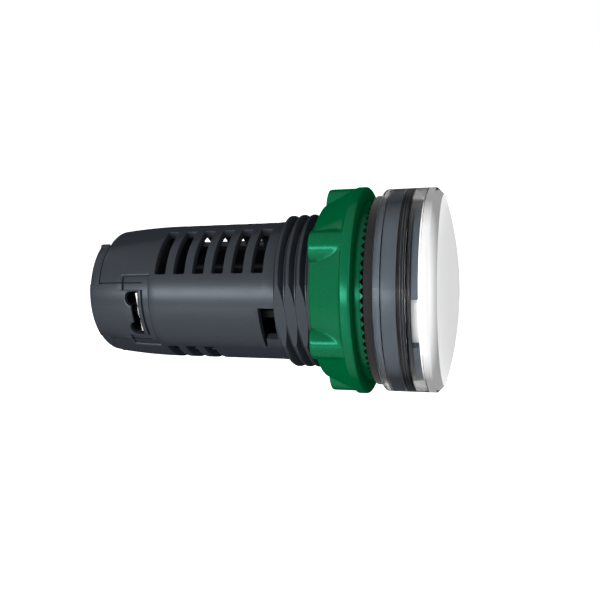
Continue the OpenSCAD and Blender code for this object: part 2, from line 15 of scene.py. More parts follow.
import bmesh
import bpy
from mathutils import Matrix, Vector

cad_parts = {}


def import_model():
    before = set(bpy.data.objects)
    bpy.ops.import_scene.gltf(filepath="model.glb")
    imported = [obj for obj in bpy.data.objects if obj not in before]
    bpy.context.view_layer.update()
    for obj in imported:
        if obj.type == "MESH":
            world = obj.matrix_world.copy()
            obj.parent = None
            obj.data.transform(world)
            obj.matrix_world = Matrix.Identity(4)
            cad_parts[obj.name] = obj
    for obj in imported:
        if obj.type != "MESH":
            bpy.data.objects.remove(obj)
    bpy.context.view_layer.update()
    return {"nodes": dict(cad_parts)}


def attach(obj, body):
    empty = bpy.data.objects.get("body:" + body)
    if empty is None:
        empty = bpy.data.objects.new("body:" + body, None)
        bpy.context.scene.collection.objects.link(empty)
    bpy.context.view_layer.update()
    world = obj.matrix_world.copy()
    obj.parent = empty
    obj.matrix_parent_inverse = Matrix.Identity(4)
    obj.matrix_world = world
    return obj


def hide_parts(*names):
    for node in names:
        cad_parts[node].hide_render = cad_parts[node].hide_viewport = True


LOG = logging.getLogger("pilot_light")
MM = 0.001
MERGE = 1e-4
FULL_TURN = 360.0
ROUND_STEPS = 288
CORNER_STEPS = 5
NEAR = 0.01
FORWARDS = (0.0, -1.0, 0.0)
WHITE = (1.0, 1.0, 1.0, 1.0)
EVEN = (1.0, 1.0, 1.0)
COOL_GLOSS = (0.8, 0.92, 1.0)
MIX_SHARE, MIX_FIRST, MIX_SECOND, MIX_COLOUR = 0, 6, 7, 2
SEEING_RAYS = ("Is Camera Ray", "Is Glossy Ray", "Is Transmission Ray")

Corner = tuple[float, float, float]
Colour = tuple[float, float, float]


class Body(Enum):
    """The bodies that the frame moves."""

    HOUSING = "housing"
    RING = "ring"
    NUT = "nut"
    LEFT_CLAMP = "left_clamp"
    RIGHT_CLAMP = "right_clamp"
    LEFT_SCREW = "left_screw"
    RIGHT_SCREW = "right_screw"


class Side(Enum):
    """The two wire sides, by the sign of X."""

    LEFT = -1
    RIGHT = 1

    @property
    def middle(self) -> float:
        """The side's direction from the axis, in degrees from +X towards +Z."""
        return 0.0 if self is Side.RIGHT else 180.0


def linear(colour: Colour) -> tuple[float, float, float, float]:
    """Turns a display colour of 0 to 255 into the linear colour that a shader takes."""
    parts = [value / 255.0 for value in colour]
    return (*[p / 12.92 if p <= 0.04045 else ((p + 0.055) / 1.055) ** 2.4 for p in parts], 1.0)


def polar(radius: float, degrees: float, back: float) -> Vector:
    """Gives the point at a radius and direction from the axis, so far behind the panel."""
    angle = math.radians(degrees)
    return Vector((radius * math.cos(angle), back, radius * math.sin(angle)))


def shades(colour: Colour, low: float, high: float) -> tuple[Sequence[float], Sequence[float]]:
    """Gives a darker and a lighter shade of a display colour, as linear colours."""
    base = linear(colour)[:3]
    return (*[c * low for c in base], 1.0), (*[c * high for c in base], 1.0)


# Shaders


class Value:
    """A shader number that takes part in Python arithmetic."""

    def __init__(self, graph: Graph, socket: bpy.types.NodeSocket | None) -> None:
        """Wraps an output socket of the graph."""
        self.graph = graph
        self.socket = socket

    def _maths(self, operation: str, *terms: Value | float) -> Value:
        """Adds a Math node for an operation on these terms."""
        inputs = dict(enumerate(terms))
        return self.graph.node("ShaderNodeMath", {"operation": operation}, inputs, "Value")

    def __add__(self, other: Value | float) -> Value:
        """Adds."""
        return self._maths("ADD", self, other)

    __radd__ = __add__

    def __sub__(self, other: Value | float) -> Value:
        """Subtracts."""
        return self._maths("SUBTRACT", self, other)

    def __rsub__(self, other: float) -> Value:
        """Subtracts from a number."""
        return self._maths("SUBTRACT", other, self)

    def __mul__(self, other: Value | float) -> Value:
        """Multiplies."""
        return self._maths("MULTIPLY", self, other)

    __rmul__ = __mul__

    def __truediv__(self, other: Value | float) -> Value:
        """Divides."""
        return self._maths("DIVIDE", self, other)

    def __rtruediv__(self, other: float) -> Value:
        """Divides a number by this."""
        return self._maths("DIVIDE", other, self)

    def clamped(self, low: float, high: float) -> Value:
        """Holds the value between two numbers."""
        return self._maths("MINIMUM", self._maths("MAXIMUM", self, low), high)


class Graph:
    """The node tree of one material or of the world."""

    def __init__(self, owner: bpy.types.Material | bpy.types.World) -> None:
        """Takes over the owner's node tree and empties it.

        Args:
            owner: The material or the world.
        """
        self.owner = owner
        owner.use_nodes = True
        self.tree = owner.node_tree
        self.tree.nodes.clear()

    def node(
        self,
        kind: str,
        settings: dict[str, object] | None = None,
        inputs: dict[str | int, object] | None = None,
        output: str | int = 0,
    ) -> Value:
        """Adds a node.

        Args:
            kind: The node's type.
            settings: Its own properties, set first.
            inputs: Values or links by socket name or number.
            output: The socket that the result stands for.

        Returns:
            The chosen output, which is empty for a node that has none.
        """
        made = self.tree.nodes.new(kind)
        for key, value in (settings or {}).items():
            setattr(made, key, value)
        for key, value in (inputs or {}).items():
            if isinstance(value, Value):
                self.tree.links.new(value.socket, made.inputs[key])
            else:
                made.inputs[key].default_value = value
        return Value(self, made.outputs[output] if len(made.outputs) else None)

    def noise(self, size_mm: float, detail: float = 2.0, stretch: Colour = EVEN) -> Value:
        """Gives a noise in the piece's own Object coordinates.

        Args:
            size_mm: About how wide a grain is.
            detail: How many finer layers lie over it.
            stretch: How much closer it lies along each axis.

        Returns:
            The noise, about 0 to 1.
        """
        inputs = {"Vector": self.node("ShaderNodeTexCoord", output="Object"), "Scale": stretch}
        spot = self.node("ShaderNodeMapping", {"vector_type": "POINT"}, inputs)
        inputs = {"Vector": spot, "Scale": 1.0 / (size_mm * MM), "Detail": detail}
        return self.node("ShaderNodeTexNoise", {}, inputs)

    def tint(self, share: Value, low: Sequence[float], high: Sequence[float]) -> Value:
        """Mixes two colours by a share."""
        inputs = {MIX_SHARE: share, MIX_FIRST: tuple(low), MIX_SECOND: tuple(high)}
        return self.node("ShaderNodeMix", {"data_type": "RGBA", "clamp_factor": True}, inputs, MIX_COLOUR)

    def bump(self, height: Value, depth_mm: float) -> Value:
        """Makes a normal from a height of 0 to 1 over this depth."""
        inputs = {"Height": height, "Distance": depth_mm * MM, "Strength": 1.0}
        return self.node("ShaderNodeBump", {}, inputs, "Normal")

    def outline(self, start: float, end: float) -> Value:
        """Gives 0 where the surface faces the eye and 1 where it turns away, between two shares."""
        away = self.node("ShaderNodeLayerWeight", {}, {"Blend": 0.5}, "Facing")
        return ((away - start) / (end - start)).clamped(0.0, 1.0)

    def mixed(self, share: Value, first: Value, second: Value) -> Value:
        """Mixes two shaders by a share."""
        return self.node("ShaderNodeMixShader", {}, {0: share, 1: first, 2: second})

    def seen(self) -> Value:
        """Gives 1 for what sees a surface straight, in gloss or through glass, and 0 for its light."""
        rays = [self.node("ShaderNodeLightPath", {}, {}, name) for name in SEEING_RAYS]
        return (rays[0] + rays[1] + rays[2]).clamped(0.0, 1.0)

    def surface(self, shader: Value) -> None:
        """Ends the tree in this shader."""
        ending = "World" if isinstance(self.owner, bpy.types.World) else "Material"
        self.node(f"ShaderNodeOutput{ending}", {}, {"Surface": shader})


@dataclass(frozen=True)
class Finish:
    """What a piece is made of: a named material, and a slot name that nothing here reads."""

    name: str
    slot: str

    def material(self) -> bpy.types.Material:
        """Builds the material.

        Returns:
            The new material.
        """
        made = bpy.data.materials.new(self.name)
        graph = Graph(made)
        graph.surface(self.shader(graph))
        return made

    def shader(self, graph: Graph) -> Value:
        """Lays out the finish's shader in a graph."""
        raise NotImplementedError


@dataclass(frozen=True)
class Plastic(Finish):
    """A moulded plastic: its colour drifts a little, and a fine grain breaks its shine."""

    colour: Colour
    roughness: float = 0.42
    drift: float = 0.05
    grain_mm: float = 0.14
    grain_depth_mm: float = 0.004
    gloss: float = 0.3
    gloss_tint: Colour = EVEN
    streak: Colour = EVEN
    cloud_mm: float = 3.5
    cloud_share: float = 0.7
    grain_roughness: float = 0.12
    cloud_roughness: float = 0.06
    matt_from: float = 0.12
    matt_to: float = 0.5

    def shader(self, graph: Graph) -> Value:
        """Lays out the finish's shader.

        Args:
            graph: The material's graph.

        Returns:
            The shader.
        """
        cloud = graph.noise(self.cloud_mm, 3.0, self.streak)
        grain = graph.noise(self.grain_mm, 2.0)
        spread = (grain - 0.5) * self.grain_roughness + (cloud - 0.5) * self.cloud_roughness
        patches = cloud * self.cloud_share + grain * (1.0 - self.cloud_share)
        inputs = {
            "Base Color": graph.tint(patches, *shades(self.colour, 1.0 - self.drift, 1.0 + self.drift)),
            "Roughness": (spread + self.roughness).clamped(0.02, 1.0),
            "Specular IOR Level": self.gloss,
            "Specular Tint": (*self.gloss_tint, 1.0),
            "Normal": graph.bump(grain, self.grain_depth_mm),
        }
        shiny = graph.node("ShaderNodeBsdfPrincipled", {}, inputs)
        matt = graph.node("ShaderNodeBsdfPrincipled", {}, {**inputs, "Specular IOR Level": 0.0})
        return graph.mixed(graph.outline(self.matt_from, self.matt_to), shiny, matt)


@dataclass(frozen=True)
class Rubber(Finish):
    """A matt elastomer with a dusty bloom."""

    colour: Colour
    roughness: float = 0.62
    gloss: float = 0.1
    bloom_mm: float = 1.6
    bloom_shades: tuple[float, float] = (0.8, 1.25)
    bloom_roughness: float = 0.15
    grain_mm: float = 0.1
    grain_depth_mm: float = 0.005

    def shader(self, graph: Graph) -> Value:
        """Lays out the finish's shader.

        Args:
            graph: The material's graph.

        Returns:
            The shader.
        """
        bloom = graph.noise(self.bloom_mm, 4.0)
        grain = graph.noise(self.grain_mm, 2.0)
        inputs = {
            "Base Color": graph.tint(bloom, *shades(self.colour, *self.bloom_shades)),
            "Roughness": ((bloom - 0.5) * self.bloom_roughness + self.roughness).clamped(0.1, 1.0),
            "Specular IOR Level": self.gloss,
            "Normal": graph.bump(grain, self.grain_depth_mm),
        }
        return graph.node("ShaderNodeBsdfPrincipled", {}, inputs)


@dataclass(frozen=True)
class Metal(Finish):
    """A plated metal with fine drawn scratches."""

    colour: Colour
    roughness: float = 0.26
    scratch_mm: float = 0.25
    scratch_depth_mm: float = 0.004
    scratch_roughness: float = 0.18
    drawn: Colour = (1.0, 6.0, 1.0)
    stain_mm: float = 1.2
    stain_shades: tuple[float, float] = (0.82, 1.0)
    stain_roughness: float = 0.1

    def shader(self, graph: Graph) -> Value:
        """Lays out the finish's shader.

        Args:
            graph: The material's graph.

        Returns:
            The shader.
        """
        scratch = graph.noise(self.scratch_mm, 3.0, self.drawn)
        stain = graph.noise(self.stain_mm, 3.0)
        spread = (scratch - 0.5) * self.scratch_roughness + (stain - 0.5) * self.stain_roughness
        inputs = {
            "Base Color": graph.tint(stain, *shades(self.colour, *self.stain_shades)),
            "Metallic": 1.0,
            "Roughness": (spread + self.roughness).clamped(0.05, 1.0),
            "Normal": graph.bump(scratch, self.scratch_depth_mm),
        }
        return graph.node("ShaderNodeBsdfPrincipled", {}, inputs)


@dataclass(frozen=True)
class Clear(Finish):
    """A clear moulding: the lamps shine through it, and its wall is greyed with painted shade where it turns
    away from the eye.
    """

    ior: float = 1.49
    roughness: float = 0.05
    gloss: float = 0.03
    edge_from: float = 0.22
    edge_to: float = 0.52
    edge_shade: float = 0.34
    edge_most: float = 0.95
    shadow: Colour = (0.96, 0.965, 0.97)
    flow_mm: float = 9.0
    flow_shades: tuple[float, float] = (0.97, 0.99)
    flow_roughness: float = 0.01

    def shader(self, graph: Graph) -> Value:
        """Lays out the finish's shader.

        Args:
            graph: The material's graph.

        Returns:
            The shader.
        """
        flow = graph.noise(self.flow_mm, 2.0)
        low, high = ((*[shade] * 3, 1.0) for shade in self.flow_shades)
        inputs = {
            "Base Color": graph.tint(flow, low, high),
            "Transmission Weight": 1.0,
            "Specular Tint": (self.gloss, self.gloss, self.gloss, 1.0),
            "IOR": self.ior,
            "Roughness": (self.roughness + (flow - 0.5) * self.flow_roughness).clamped(0.0, 1.0),
        }
        glass = graph.node("ShaderNodeBsdfPrincipled", {}, inputs)
        # Painted shade: towards the silhouette the wall turns into a grey refraction, standing in for the
        # darkness clear plastic shows there.
        painted_shade_inputs = {"Color": (*[self.edge_shade] * 3, 1.0), "Roughness": self.roughness, "IOR": self.ior}
        edge = graph.node("ShaderNodeBsdfRefraction", {}, painted_shade_inputs)
        glass = graph.mixed(graph.outline(self.edge_from, self.edge_to) * self.edge_most, glass, edge)
        open_air = graph.node("ShaderNodeBsdfTransparent", {}, {"Color": (*self.shadow, 1.0)})
        to_lamp = graph.node("ShaderNodeLightPath", {}, {}, "Is Shadow Ray")
        return graph.mixed(to_lamp, glass, open_air)


HOUSING = Plastic("housing_plastic", "housing", (46, 50, 56), 0.3, gloss_tint=COOL_GLOSS)
HEAD = Plastic("head_plastic", "housing", (72, 79, 87), 0.34, streak=(1.0, 12.0, 1.0), gloss_tint=COOL_GLOSS)
GREEN = Plastic("nut_plastic", "nut", (0, 88, 49), 0.26, drift=0.04, gloss=0.5, gloss_tint=(0.12, 1.0, 0.64))
GASKET = Rubber("gasket_rubber", "rubber", (42, 40, 41))
SEAL = Rubber("seal_rubber", "rubber", (24, 23, 23), roughness=0.35)
OPAL = Plastic("opal_diffuser", "diffuser", (246, 246, 246), 0.4, drift=0.01, grain_depth_mm=0.001, gloss=0.1)
LENS = Clear("clear_lens", "lens")
# The dome's painted edge shade is only slight.
DOME = Clear("clear_dome", "lens", edge_shade=0.96)
BRASS = Metal("plated_brass", "brass", (226, 224, 220), roughness=0.35)
STEEL = Metal("dark_steel", "steel", (44, 44, 46), roughness=0.42)
NODE_LOOKS = {
    "led_board": Plastic("white_board", "light_board", (235, 235, 230), drift=0.02),
    "led_chips": Plastic("light_chips", "light_chip", (238, 214, 110), drift=0.08),
    "power_board": Plastic("black_board", "board", (18, 24, 21), drift=0.18, gloss=0.1),
    "dropper_capacitor": Plastic("film_capacitor", "film_case", (20, 21, 24), gloss=0.1),
    "smoothing_capacitor": Plastic("sleeved_can", "can_sleeve", (18, 19, 24), gloss=0.1),
    "bridge_rectifier": Plastic("rectifier_case", "film_case", (20, 20, 22), gloss=0.1),
    "varistor": Plastic("dipped_disc", "varistor_coat", (20, 28, 52), gloss=0.1),
    "series_resistor": Plastic("series_lacquer", "resistor_coat", (52, 50, 44), gloss=0.1),
    "bleed_resistor": Plastic("bleed_lacquer", "resistor_coat", (40, 48, 52), gloss=0.1),
    "board_link": Rubber("link_block", "rubber", (24, 24, 26)),
}
_MADE: dict[str, bpy.types.Material] = {}


def dressed(finish: Finish) -> bpy.types.Material:
    """Gives the finish's material, and builds it the first time."""
    if finish.name not in _MADE:
        _MADE[finish.name] = finish.material()
    return _MADE[finish.name]


# Shapes


class Shape:
    """A mesh in millimetres, shaped by operators and then handed over as a piece."""

    def __init__(self) -> None:
        """Starts empty."""
        self.bm = bmesh.new()

    def wire(self, corners: Iterable[Corner], closed: bool = True) -> None:
        """Lays a line through corners, each of which may be rounded.

        Args:
            corners: (first, second, rounding) for each corner.
            closed: Whether the line runs back to its start.
        """
        corners = list(corners)
        verts = [self.bm.verts.new((a, b, 0.0)) for a, b, _ in corners]
        for here, there in zip(verts, verts[1:]):
            self.bm.edges.new((here, there))
        if closed:
            self.bm.edges.new((verts[-1], verts[0]))
        sizes = sorted({rounding for _, _, rounding in corners if rounding > 0.0})
        for size in sizes:
            members = [v for v, corner in zip(verts, corners) if corner[2] == size]
            bmesh.ops.bevel(
                self.bm,
                geom=members,
                offset=size,
                offset_type="OFFSET",
                segments=CORNER_STEPS,
                profile=0.5,
                affect="VERTICES",
                material=-1,
            )

    def spin(
        self, angle: float, steps: int, climb: float = 0.0, close: bool = False, apart: bool = False
    ) -> Shape:
        """Spins everything round the axis, from +X towards +Z.

        Args:
            angle: How far, in degrees.
            steps: In how many steps.
            climb: How far each step moves along the axis.
            close: Whether the last step is merged with the first.
            apart: Whether the steps stay apart as copies, with no skin between them.

        Returns:
            The shape.
        """
        bmesh.ops.spin(
            self.bm,
            geom=self.bm.verts[:] + self.bm.edges[:] + self.bm.faces[:],
            cent=(0.0, 0.0, 0.0),
            axis=FORWARDS,
            dvec=(0.0, climb, 0.0),
            angle=math.radians(angle),
            steps=steps,
            use_merge=close,
            use_duplicate=apart,
        )
        return self

    def turn(self, steps: int = ROUND_STEPS) -> Shape:
        """Turns what is drawn so far once round the axis."""
        return self.spin(FULL_TURN, steps, close=True).merge()

    def sweep(self, start: float, end: float, steps: int) -> Shape:
        """Fills what is drawn so far and sweeps it round the axis.

        Args:
            start: The first direction, in degrees.
            end: The last direction.
            steps: In how many steps.

        Returns:
            The shape.
        """
        bmesh.ops.edgeloop_fill(self.bm, edges=self.bm.edges[:])
        return self.rotate(start).spin(end - start, steps).merge()

    def rotate(self, degrees: float) -> Shape:
        """Turns everything round the axis, from +X towards +Z."""
        matrix = Matrix.Rotation(math.radians(degrees), 3, Vector(FORWARDS))
        bmesh.ops.rotate(self.bm, cent=(0.0, 0.0, 0.0), matrix=matrix, verts=self.bm.verts[:])
        return self

    def merge(self) -> Shape:
        """Closes the seams and poles."""
        bmesh.ops.remove_doubles(self.bm, verts=self.bm.verts[:], dist=MERGE)
        return self

    def fill(self) -> Shape:
        """Fills the outlines drawn so far, with the holes among them left open.

        Returns:
            The shape.
        """
        bmesh.ops.triangle_fill(self.bm, use_beauty=True, edges=self.bm.edges[:], normal=(0.0, 0.0, 1.0))
        bmesh.ops.dissolve_limit(
            self.bm, angle_limit=math.radians(0.5), verts=self.bm.verts[:], edges=self.bm.edges[:]
        )
        return self

    def thicken(self, depth: float) -> Shape:
        """Gives the filled outline a thickness below Z = 0.

        Args:
            depth: How thick.

        Returns:
            The shape.
        """
        for face in self.bm.faces:
            if face.normal.z < 0.0:
                face.normal_flip()
        made = bmesh.ops.extrude_face_region(self.bm, geom=self.bm.faces[:], use_keep_orig=True)
        moved = [item for item in made["geom"] if isinstance(item, bmesh.types.BMVert)]
        bmesh.ops.translate(self.bm, vec=(0.0, 0.0, -depth), verts=moved)
        return self.tidy()

    def tidy(self) -> Shape:
        """Points the faces outwards."""
        bmesh.ops.recalc_face_normals(self.bm, faces=self.bm.faces[:])
        return self

    def soften(
        self,
        width: float,
        segments: int = 2,
        chosen: Callable[[bmesh.types.BMEdge], bool] | None = None,
        least: float = 40.0,
    ) -> Shape:
        """Rounds the sharper edges.

        Args:
            width: How far the rounding reaches.
            segments: How many faces it has.
            chosen: Says which edges may be rounded, all if left out.
            least: The smallest angle that counts as an edge, in degrees.

        Returns:
            The shape.
        """
        limit = math.radians(least)
        edges = [
            edge
            for edge in self.bm.edges
            if len(edge.link_faces) == 2
            and edge.calc_face_angle(0.0) > limit
            and (chosen is None or chosen(edge))
        ]
        bmesh.ops.bevel(
            self.bm,
            geom=edges,
            offset=width,
            offset_type="OFFSET",
            segments=segments,
            profile=0.5,
            affect="EDGES",
            clamp_overlap=True,
            material=-1,
        )
        return self

    def slice(self, axis: int, step: float) -> Shape:
        """Cuts everything across at each step along an axis, so that it can bend.

        Args:
            axis: 0 for X, 1 for Y, 2 for Z.
            step: How far apart the cuts are.

        Returns:
            The shape.
        """
        places = [v.co[axis] for v in self.bm.verts]
        normal = Vector((0.0, 0.0, 0.0))
        normal[axis] = 1.0
        first, last = math.ceil(min(places) / step), math.floor(max(places) / step)
        for count in range(first, last + 1):
            bmesh.ops.bisect_plane(
                self.bm,
                geom=self.bm.verts[:] + self.bm.edges[:] + self.bm.faces[:],
                dist=MERGE,
                plane_co=normal * (count * step),
                plane_no=normal,
            )
        return self

    def move(self, place: Callable[[Vector], Vector]) -> Shape:
        """Sends every point to where the rule puts it."""
        for vert in self.bm.verts:
            vert.co = place(vert.co)
        return self

    def add(self, other: Shape) -> Shape:
        """Takes in another shape.

        Args:
            other: The other shape, which is used up.

        Returns:
            The shape.
        """
        spare = bpy.data.meshes.new("spare")
        other.bm.to_mesh(spare)
        other.bm.free()
        self.bm.from_mesh(spare)
        bpy.data.meshes.remove(spare)
        return self

    def piece(
        self,
        name: str,
        finish: Finish,
        body: Body,
        nodes: Sequence[str] = (),
        sharp: float = 34.0,
    ) -> bpy.types.Object:
        """Hands the shape over as a piece of the part.

        Args:
            name: The piece's name.
            finish: What it is made of.
            body: The body that it moves with.
            nodes: The solids that it stands for.
            sharp: The angle past which an edge stays crisp, in degrees.

        Returns:
            The new object.
        """
        self.merge().tidy()
        bmesh.ops.scale(self.bm, vec=(MM, MM, MM), verts=self.bm.verts[:])
        mesh = bpy.data.meshes.new(name)
        self.bm.to_mesh(mesh)
        self.bm.free()
        mesh.shade_smooth()
        mesh.set_sharp_from_angle(angle=math.radians(sharp))
        made = bpy.data.objects.new(name, mesh)
        bpy.context.scene.collection.objects.link(made)
        mesh.materials.append(dressed(finish))
        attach(made, body.value)
        if nodes:
            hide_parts(*nodes)
        LOG.info("%s: %d faces", name, len(mesh.polygons))
        return made


def cut(shape: Shape, cutters: Sequence[Shape]) -> Shape:
    """Cuts closed shapes from a closed shape.

    Args:
        shape: The shape that is cut.
        cutters: The shapes that are taken away.

    Returns:
        What is left, as a new shape.
    """
    owner = _spare_object(shape)
    tools = [_spare_object(cutter) for cutter in cutters]
    for tool in tools:
        step = owner.modifiers.new("step", "BOOLEAN")
        step.operation = "DIFFERENCE"
        step.solver = "EXACT"
        step.object = tool
    bpy.context.view_layer.update()
    depsgraph = bpy.context.evaluated_depsgraph_get()
    result = bpy.data.meshes.new_from_object(owner.evaluated_get(depsgraph))
    made = Shape()
    made.bm.from_mesh(result)
    bpy.data.meshes.remove(result)
    for spare in (owner, *tools):
        mesh = spare.data
        bpy.data.objects.remove(spare)
        bpy.data.meshes.remove(mesh)
    return made


def _spare_object(shape: Shape) -> bpy.types.Object:
    """Makes a short-lived object of a shape, for a modifier.

    Args:
        shape: The shape, which is used up.

    Returns:
        The object.
    """
    shape.merge().tidy()
    mesh = bpy.data.meshes.new("spare")
    shape.bm.to_mesh(mesh)
    shape.bm.free()
    spare = bpy.data.objects.new("spare", mesh)
    bpy.context.scene.collection.objects.link(spare)
    return spare


def window(low: float, high: float, first: float, last: float, rounding: float = 0.0) -> list[Corner]:
    """Gives the corners of a rectangle, all rounded alike."""
    return [(low, first, rounding), (high, first, rounding), (high, last, rounding), (low, last, rounding)]


def arc(radius: float, centre: tuple[float, float], start: float, end: float, steps: int) -> list[Corner]:
    """Gives points along an arc in the drawing plane, between two directions in degrees."""
    angles = [math.radians(start + (end - start) * i / steps) for i in range(steps + 1)]
    return [(centre[0] + radius * math.cos(a), centre[1] + radius * math.sin(a), 0.0) for a in angles]


def turned(profile: Iterable[Corner], closed: bool = True, steps: int = ROUND_STEPS) -> Shape:
    """Turns a profile of radius and place round the axis.

    Args:
        profile: Its corners.
        closed: Whether it runs back to its start, or ends on the axis.
        steps: How many steps the turn takes.

    Returns:
        The new shape.
    """
    made = Shape()
    made.wire(profile, closed)
    return made.turn(steps)


@dataclass
class Slab:
    """A flat block across the axis, drawn in X and Z between two places along it."""

    back_from: float
    back_to: float
    outlines: list[list[Corner]]
    edge: float = 0.12

    def shape(self) -> Shape:
        """Builds the block.

        Returns:
            The new shape.
        """
        made = Shape()
        for outline in self.outlines:
            made.wire(outline)
        made.fill().thicken(self.back_to - self.back_from)
        if self.edge > 0.0:
            made.soften(self.edge, least=50.0)
        return made.move(lambda p: Vector((p.x, self.back_from - p.z, p.y)))


# The barrel


@dataclass
class Barrel:
    """The threaded, vented barrel. Its wall is drawn flat, by lengths round the axis, and then bent."""

    radius: float = 9.97
    wall: float = 0.95
    length: float = 39.2
    draft: float = 0.14
    tail_length: float = 9.2
    tail_drop: float = 0.5
    thread_back: float = 14.75
    pitch: float = 1.5
    crest: float = 10.95
    depth: float = 0.88
    crest_width: float = 0.36
    turns: int = 8
    phase: float = -2.5
    flat: float = 10.02
    flat_inset: float = 0.03
    flat_cut: float = 5.0
    turn_steps: int = 120
    ridge_foot: float = 0.08
    ridge_start: float = 0.95
    ridge_rise: float = 0.3
    ridge_fall: float = 0.6
    ridge_least: float = 0.02
    ridge_sink: float = 0.06
    vent_width: float = 1.7
    vent_pitch: float = 2.88
    vent_first: float = 29.42
    vent_shift: float = 0.72
    vent_round: float = 0.22
    upper_vents: int = 6
    lower_vents: int = 3
    vent_angles: tuple[float, float] = (33.5, 80.0)
    window_angles: tuple[float, float] = (174.0, 201.5)
    window_round: float = 0.12
    tail_round: float = 0.05
    window_tail: float = 10.0
    tail_height: float = 0.25
    tail_shoulder: float = 0.5
    window_backs: tuple[float, float] = (12.65, 14.9)
    cheek_angle: float = 27.4
    window_front: float = 32.3
    recess_angle: float = 32.6
    recess_backs: tuple[float, float] = (31.3, 35.4)
    recess_depth: float = 0.3
    recess_edge: float = 0.26
    recess_clear: float = 0.14
    recess_overlap: float = 0.12
    recess_reach: float = 1.2
    edge: float = 0.13
    step_angle: float = 2.5
    step_back: float = 1.3
    neck_front: float = -1.3
    neck_back: float = 1.25
    neck_radius: float = 10.9
    flank: float = 30.0
    crest_round: float = 0.1

    @property
    def bore(self) -> float:
        """The radius inside the wall."""
        return self.radius - self.draft - self.wall

    @property
    def per_degree(self) -> float:
        """Length round the barrel for each degree, where the wall is laid out."""
        return math.radians(self.radius)

    def skin(self, back: float) -> float:
        """Gives the outer radius, which narrows towards the rear.

        Args:
            back: The place behind the panel.

        Returns:
            The radius there.
        """
        if back < self.window_backs[0] - NEAR:
            return self.crest - self.depth
        along = max(0.0, (back - self.thread_back) / (self.length - self.thread_back))
        tail = max(0.0, (back - self.length + self.tail_length) / self.tail_length)
        return self.radius - self.draft * along - self.tail_drop * tail * tail

    def laid(self, corners: Iterable[tuple[float, ...]]) -> list[Corner]:
        """Lays corners out flat, from degrees round the barrel to lengths.

        Args:
            corners: (degrees, back) or (degrees, back, rounding) for each corner.

        Returns:
            The corners of the flat outline.
        """
        return [(c[0] * self.per_degree, c[1], c[2] if len(c) > 2 else 0.0) for c in corners]

    def bend(self, sheet: Shape, top: float = 0.0) -> Shape:
        """Bends a flat sheet round the axis.

        Args:
            sheet: The sheet, laid out by the skin's length round the barrel.
            top: How far its top face lies under the skin.

        Returns:
            The bent sheet.
        """
        sheet.slice(0, self.per_degree * self.step_angle)
        sheet.slice(1, self.step_back)

        def place(point: Vector) -> Vector:
            """Puts a point of the sheet in its place on the barrel.

            Args:
                point: The point on the flat sheet.

            Returns:
                The point on the barrel.
            """
            share = min(1.0, max(0.0, -point.z / self.wall))
            outer = self.skin(point.y) - top
            spot = polar(outer + (self.bore - outer) * share, point.x / self.per_degree, point.y)
            if point.y < self.thread_back:
                most = self.flat - self.flat_inset
                spot.x = max(-most, min(most, spot.x))
            return spot

        return sheet.move(place)

    def _vent(self, count: int, shift: float = 0.0) -> tuple[float, float]:
        """Gives the front and back edge of a vent, counted from the rear."""
        middle = self.vent_first - count * self.vent_pitch - shift
        return middle - self.vent_width / 2, middle + self.vent_width / 2

    def _vent_windows(self) -> list[list[Corner]]:
        """Draws all the vents.

        Returns:
            An outline for each vent, laid out flat.
        """
        low, high = self.vent_angles
        groups = [
            (low, high, self.upper_vents, self.vent_shift),
            (180.0 - high, 180.0 - low, self.upper_vents, 0.0),
            (180.0 + low, 180.0 + high, self.lower_vents, 0.0),
            (FULL_TURN - high, FULL_TURN - low, self.lower_vents, 0.0),
        ]
        return [
            self.laid(window(start, end, *self._vent(i, shift), self.vent_round))
            for start, end, count, shift in groups
            for i in range(count)
        ]

    def _outer_edge(self) -> list[Corner]:
        """Draws the barrel's edge, with a notch on each wire side for the cheek and its recess.

        Returns:
            The outline, laid out flat.
        """
        front, back = self.neck_back, self.length
        low, high = self.recess_backs
        wide, narrow = self.recess_angle, self.cheek_angle
        notch = [(wide, low), (wide, high), (narrow, high), (narrow, back)]
        edge = [*self._near_window(), (0.0, front), (FULL_TURN, front), *self._far_window()]
        edge += [(FULL_TURN, low), *[(FULL_TURN - a, b) for a, b in notch]]
        edge += [(180.0 + a, b) for a, b in reversed(notch)]
        edge += [(180.0 - a, b) for a, b in notch]
        edge += [*reversed(notch), (0.0, low)]
        return self.laid(edge)

    def _side_window(self) -> list[Corner]:
        """Draws the left side's window, with the narrow tail at its lower end.

        Returns:
            The outline, laid out flat.
        """
        low, high = self.window_angles
        front, back = self.window_backs
        tail = high + self.window_tail
        wide, tight = self.window_round, self.tail_round
        corners = [(low, front, wide), (low, back, tight), (tail, back, tight)]
        corners.append((tail, back - self.tail_height, tight))
        corners += [(high, back - self.tail_shoulder), (high, front, wide)]
        return self.laid(corners)

    def _far_window(self) -> list[tuple[float, float]]:
        """Draws the part of the right side's window before the seam, in degrees and places."""
        low = self.window_angles[0] + 180.0
        front, back = self.window_backs
        return [(FULL_TURN, front), (low, front), (low, back), (FULL_TURN, back)]

    def _near_window(self) -> list[tuple[float, float]]:
        """Draws the part of the right side's window after the seam.

        Returns:
            Its corners, in degrees and places.
        """
        high = self.window_angles[1] - 180.0
        front, back = self.window_backs
        tail = high + self.window_tail
        corners = [(0.0, back), (tail, back), (tail, back - self.tail_height)]
        return corners + [(high, back - self.tail_shoulder), (high, front), (0.0, front)]

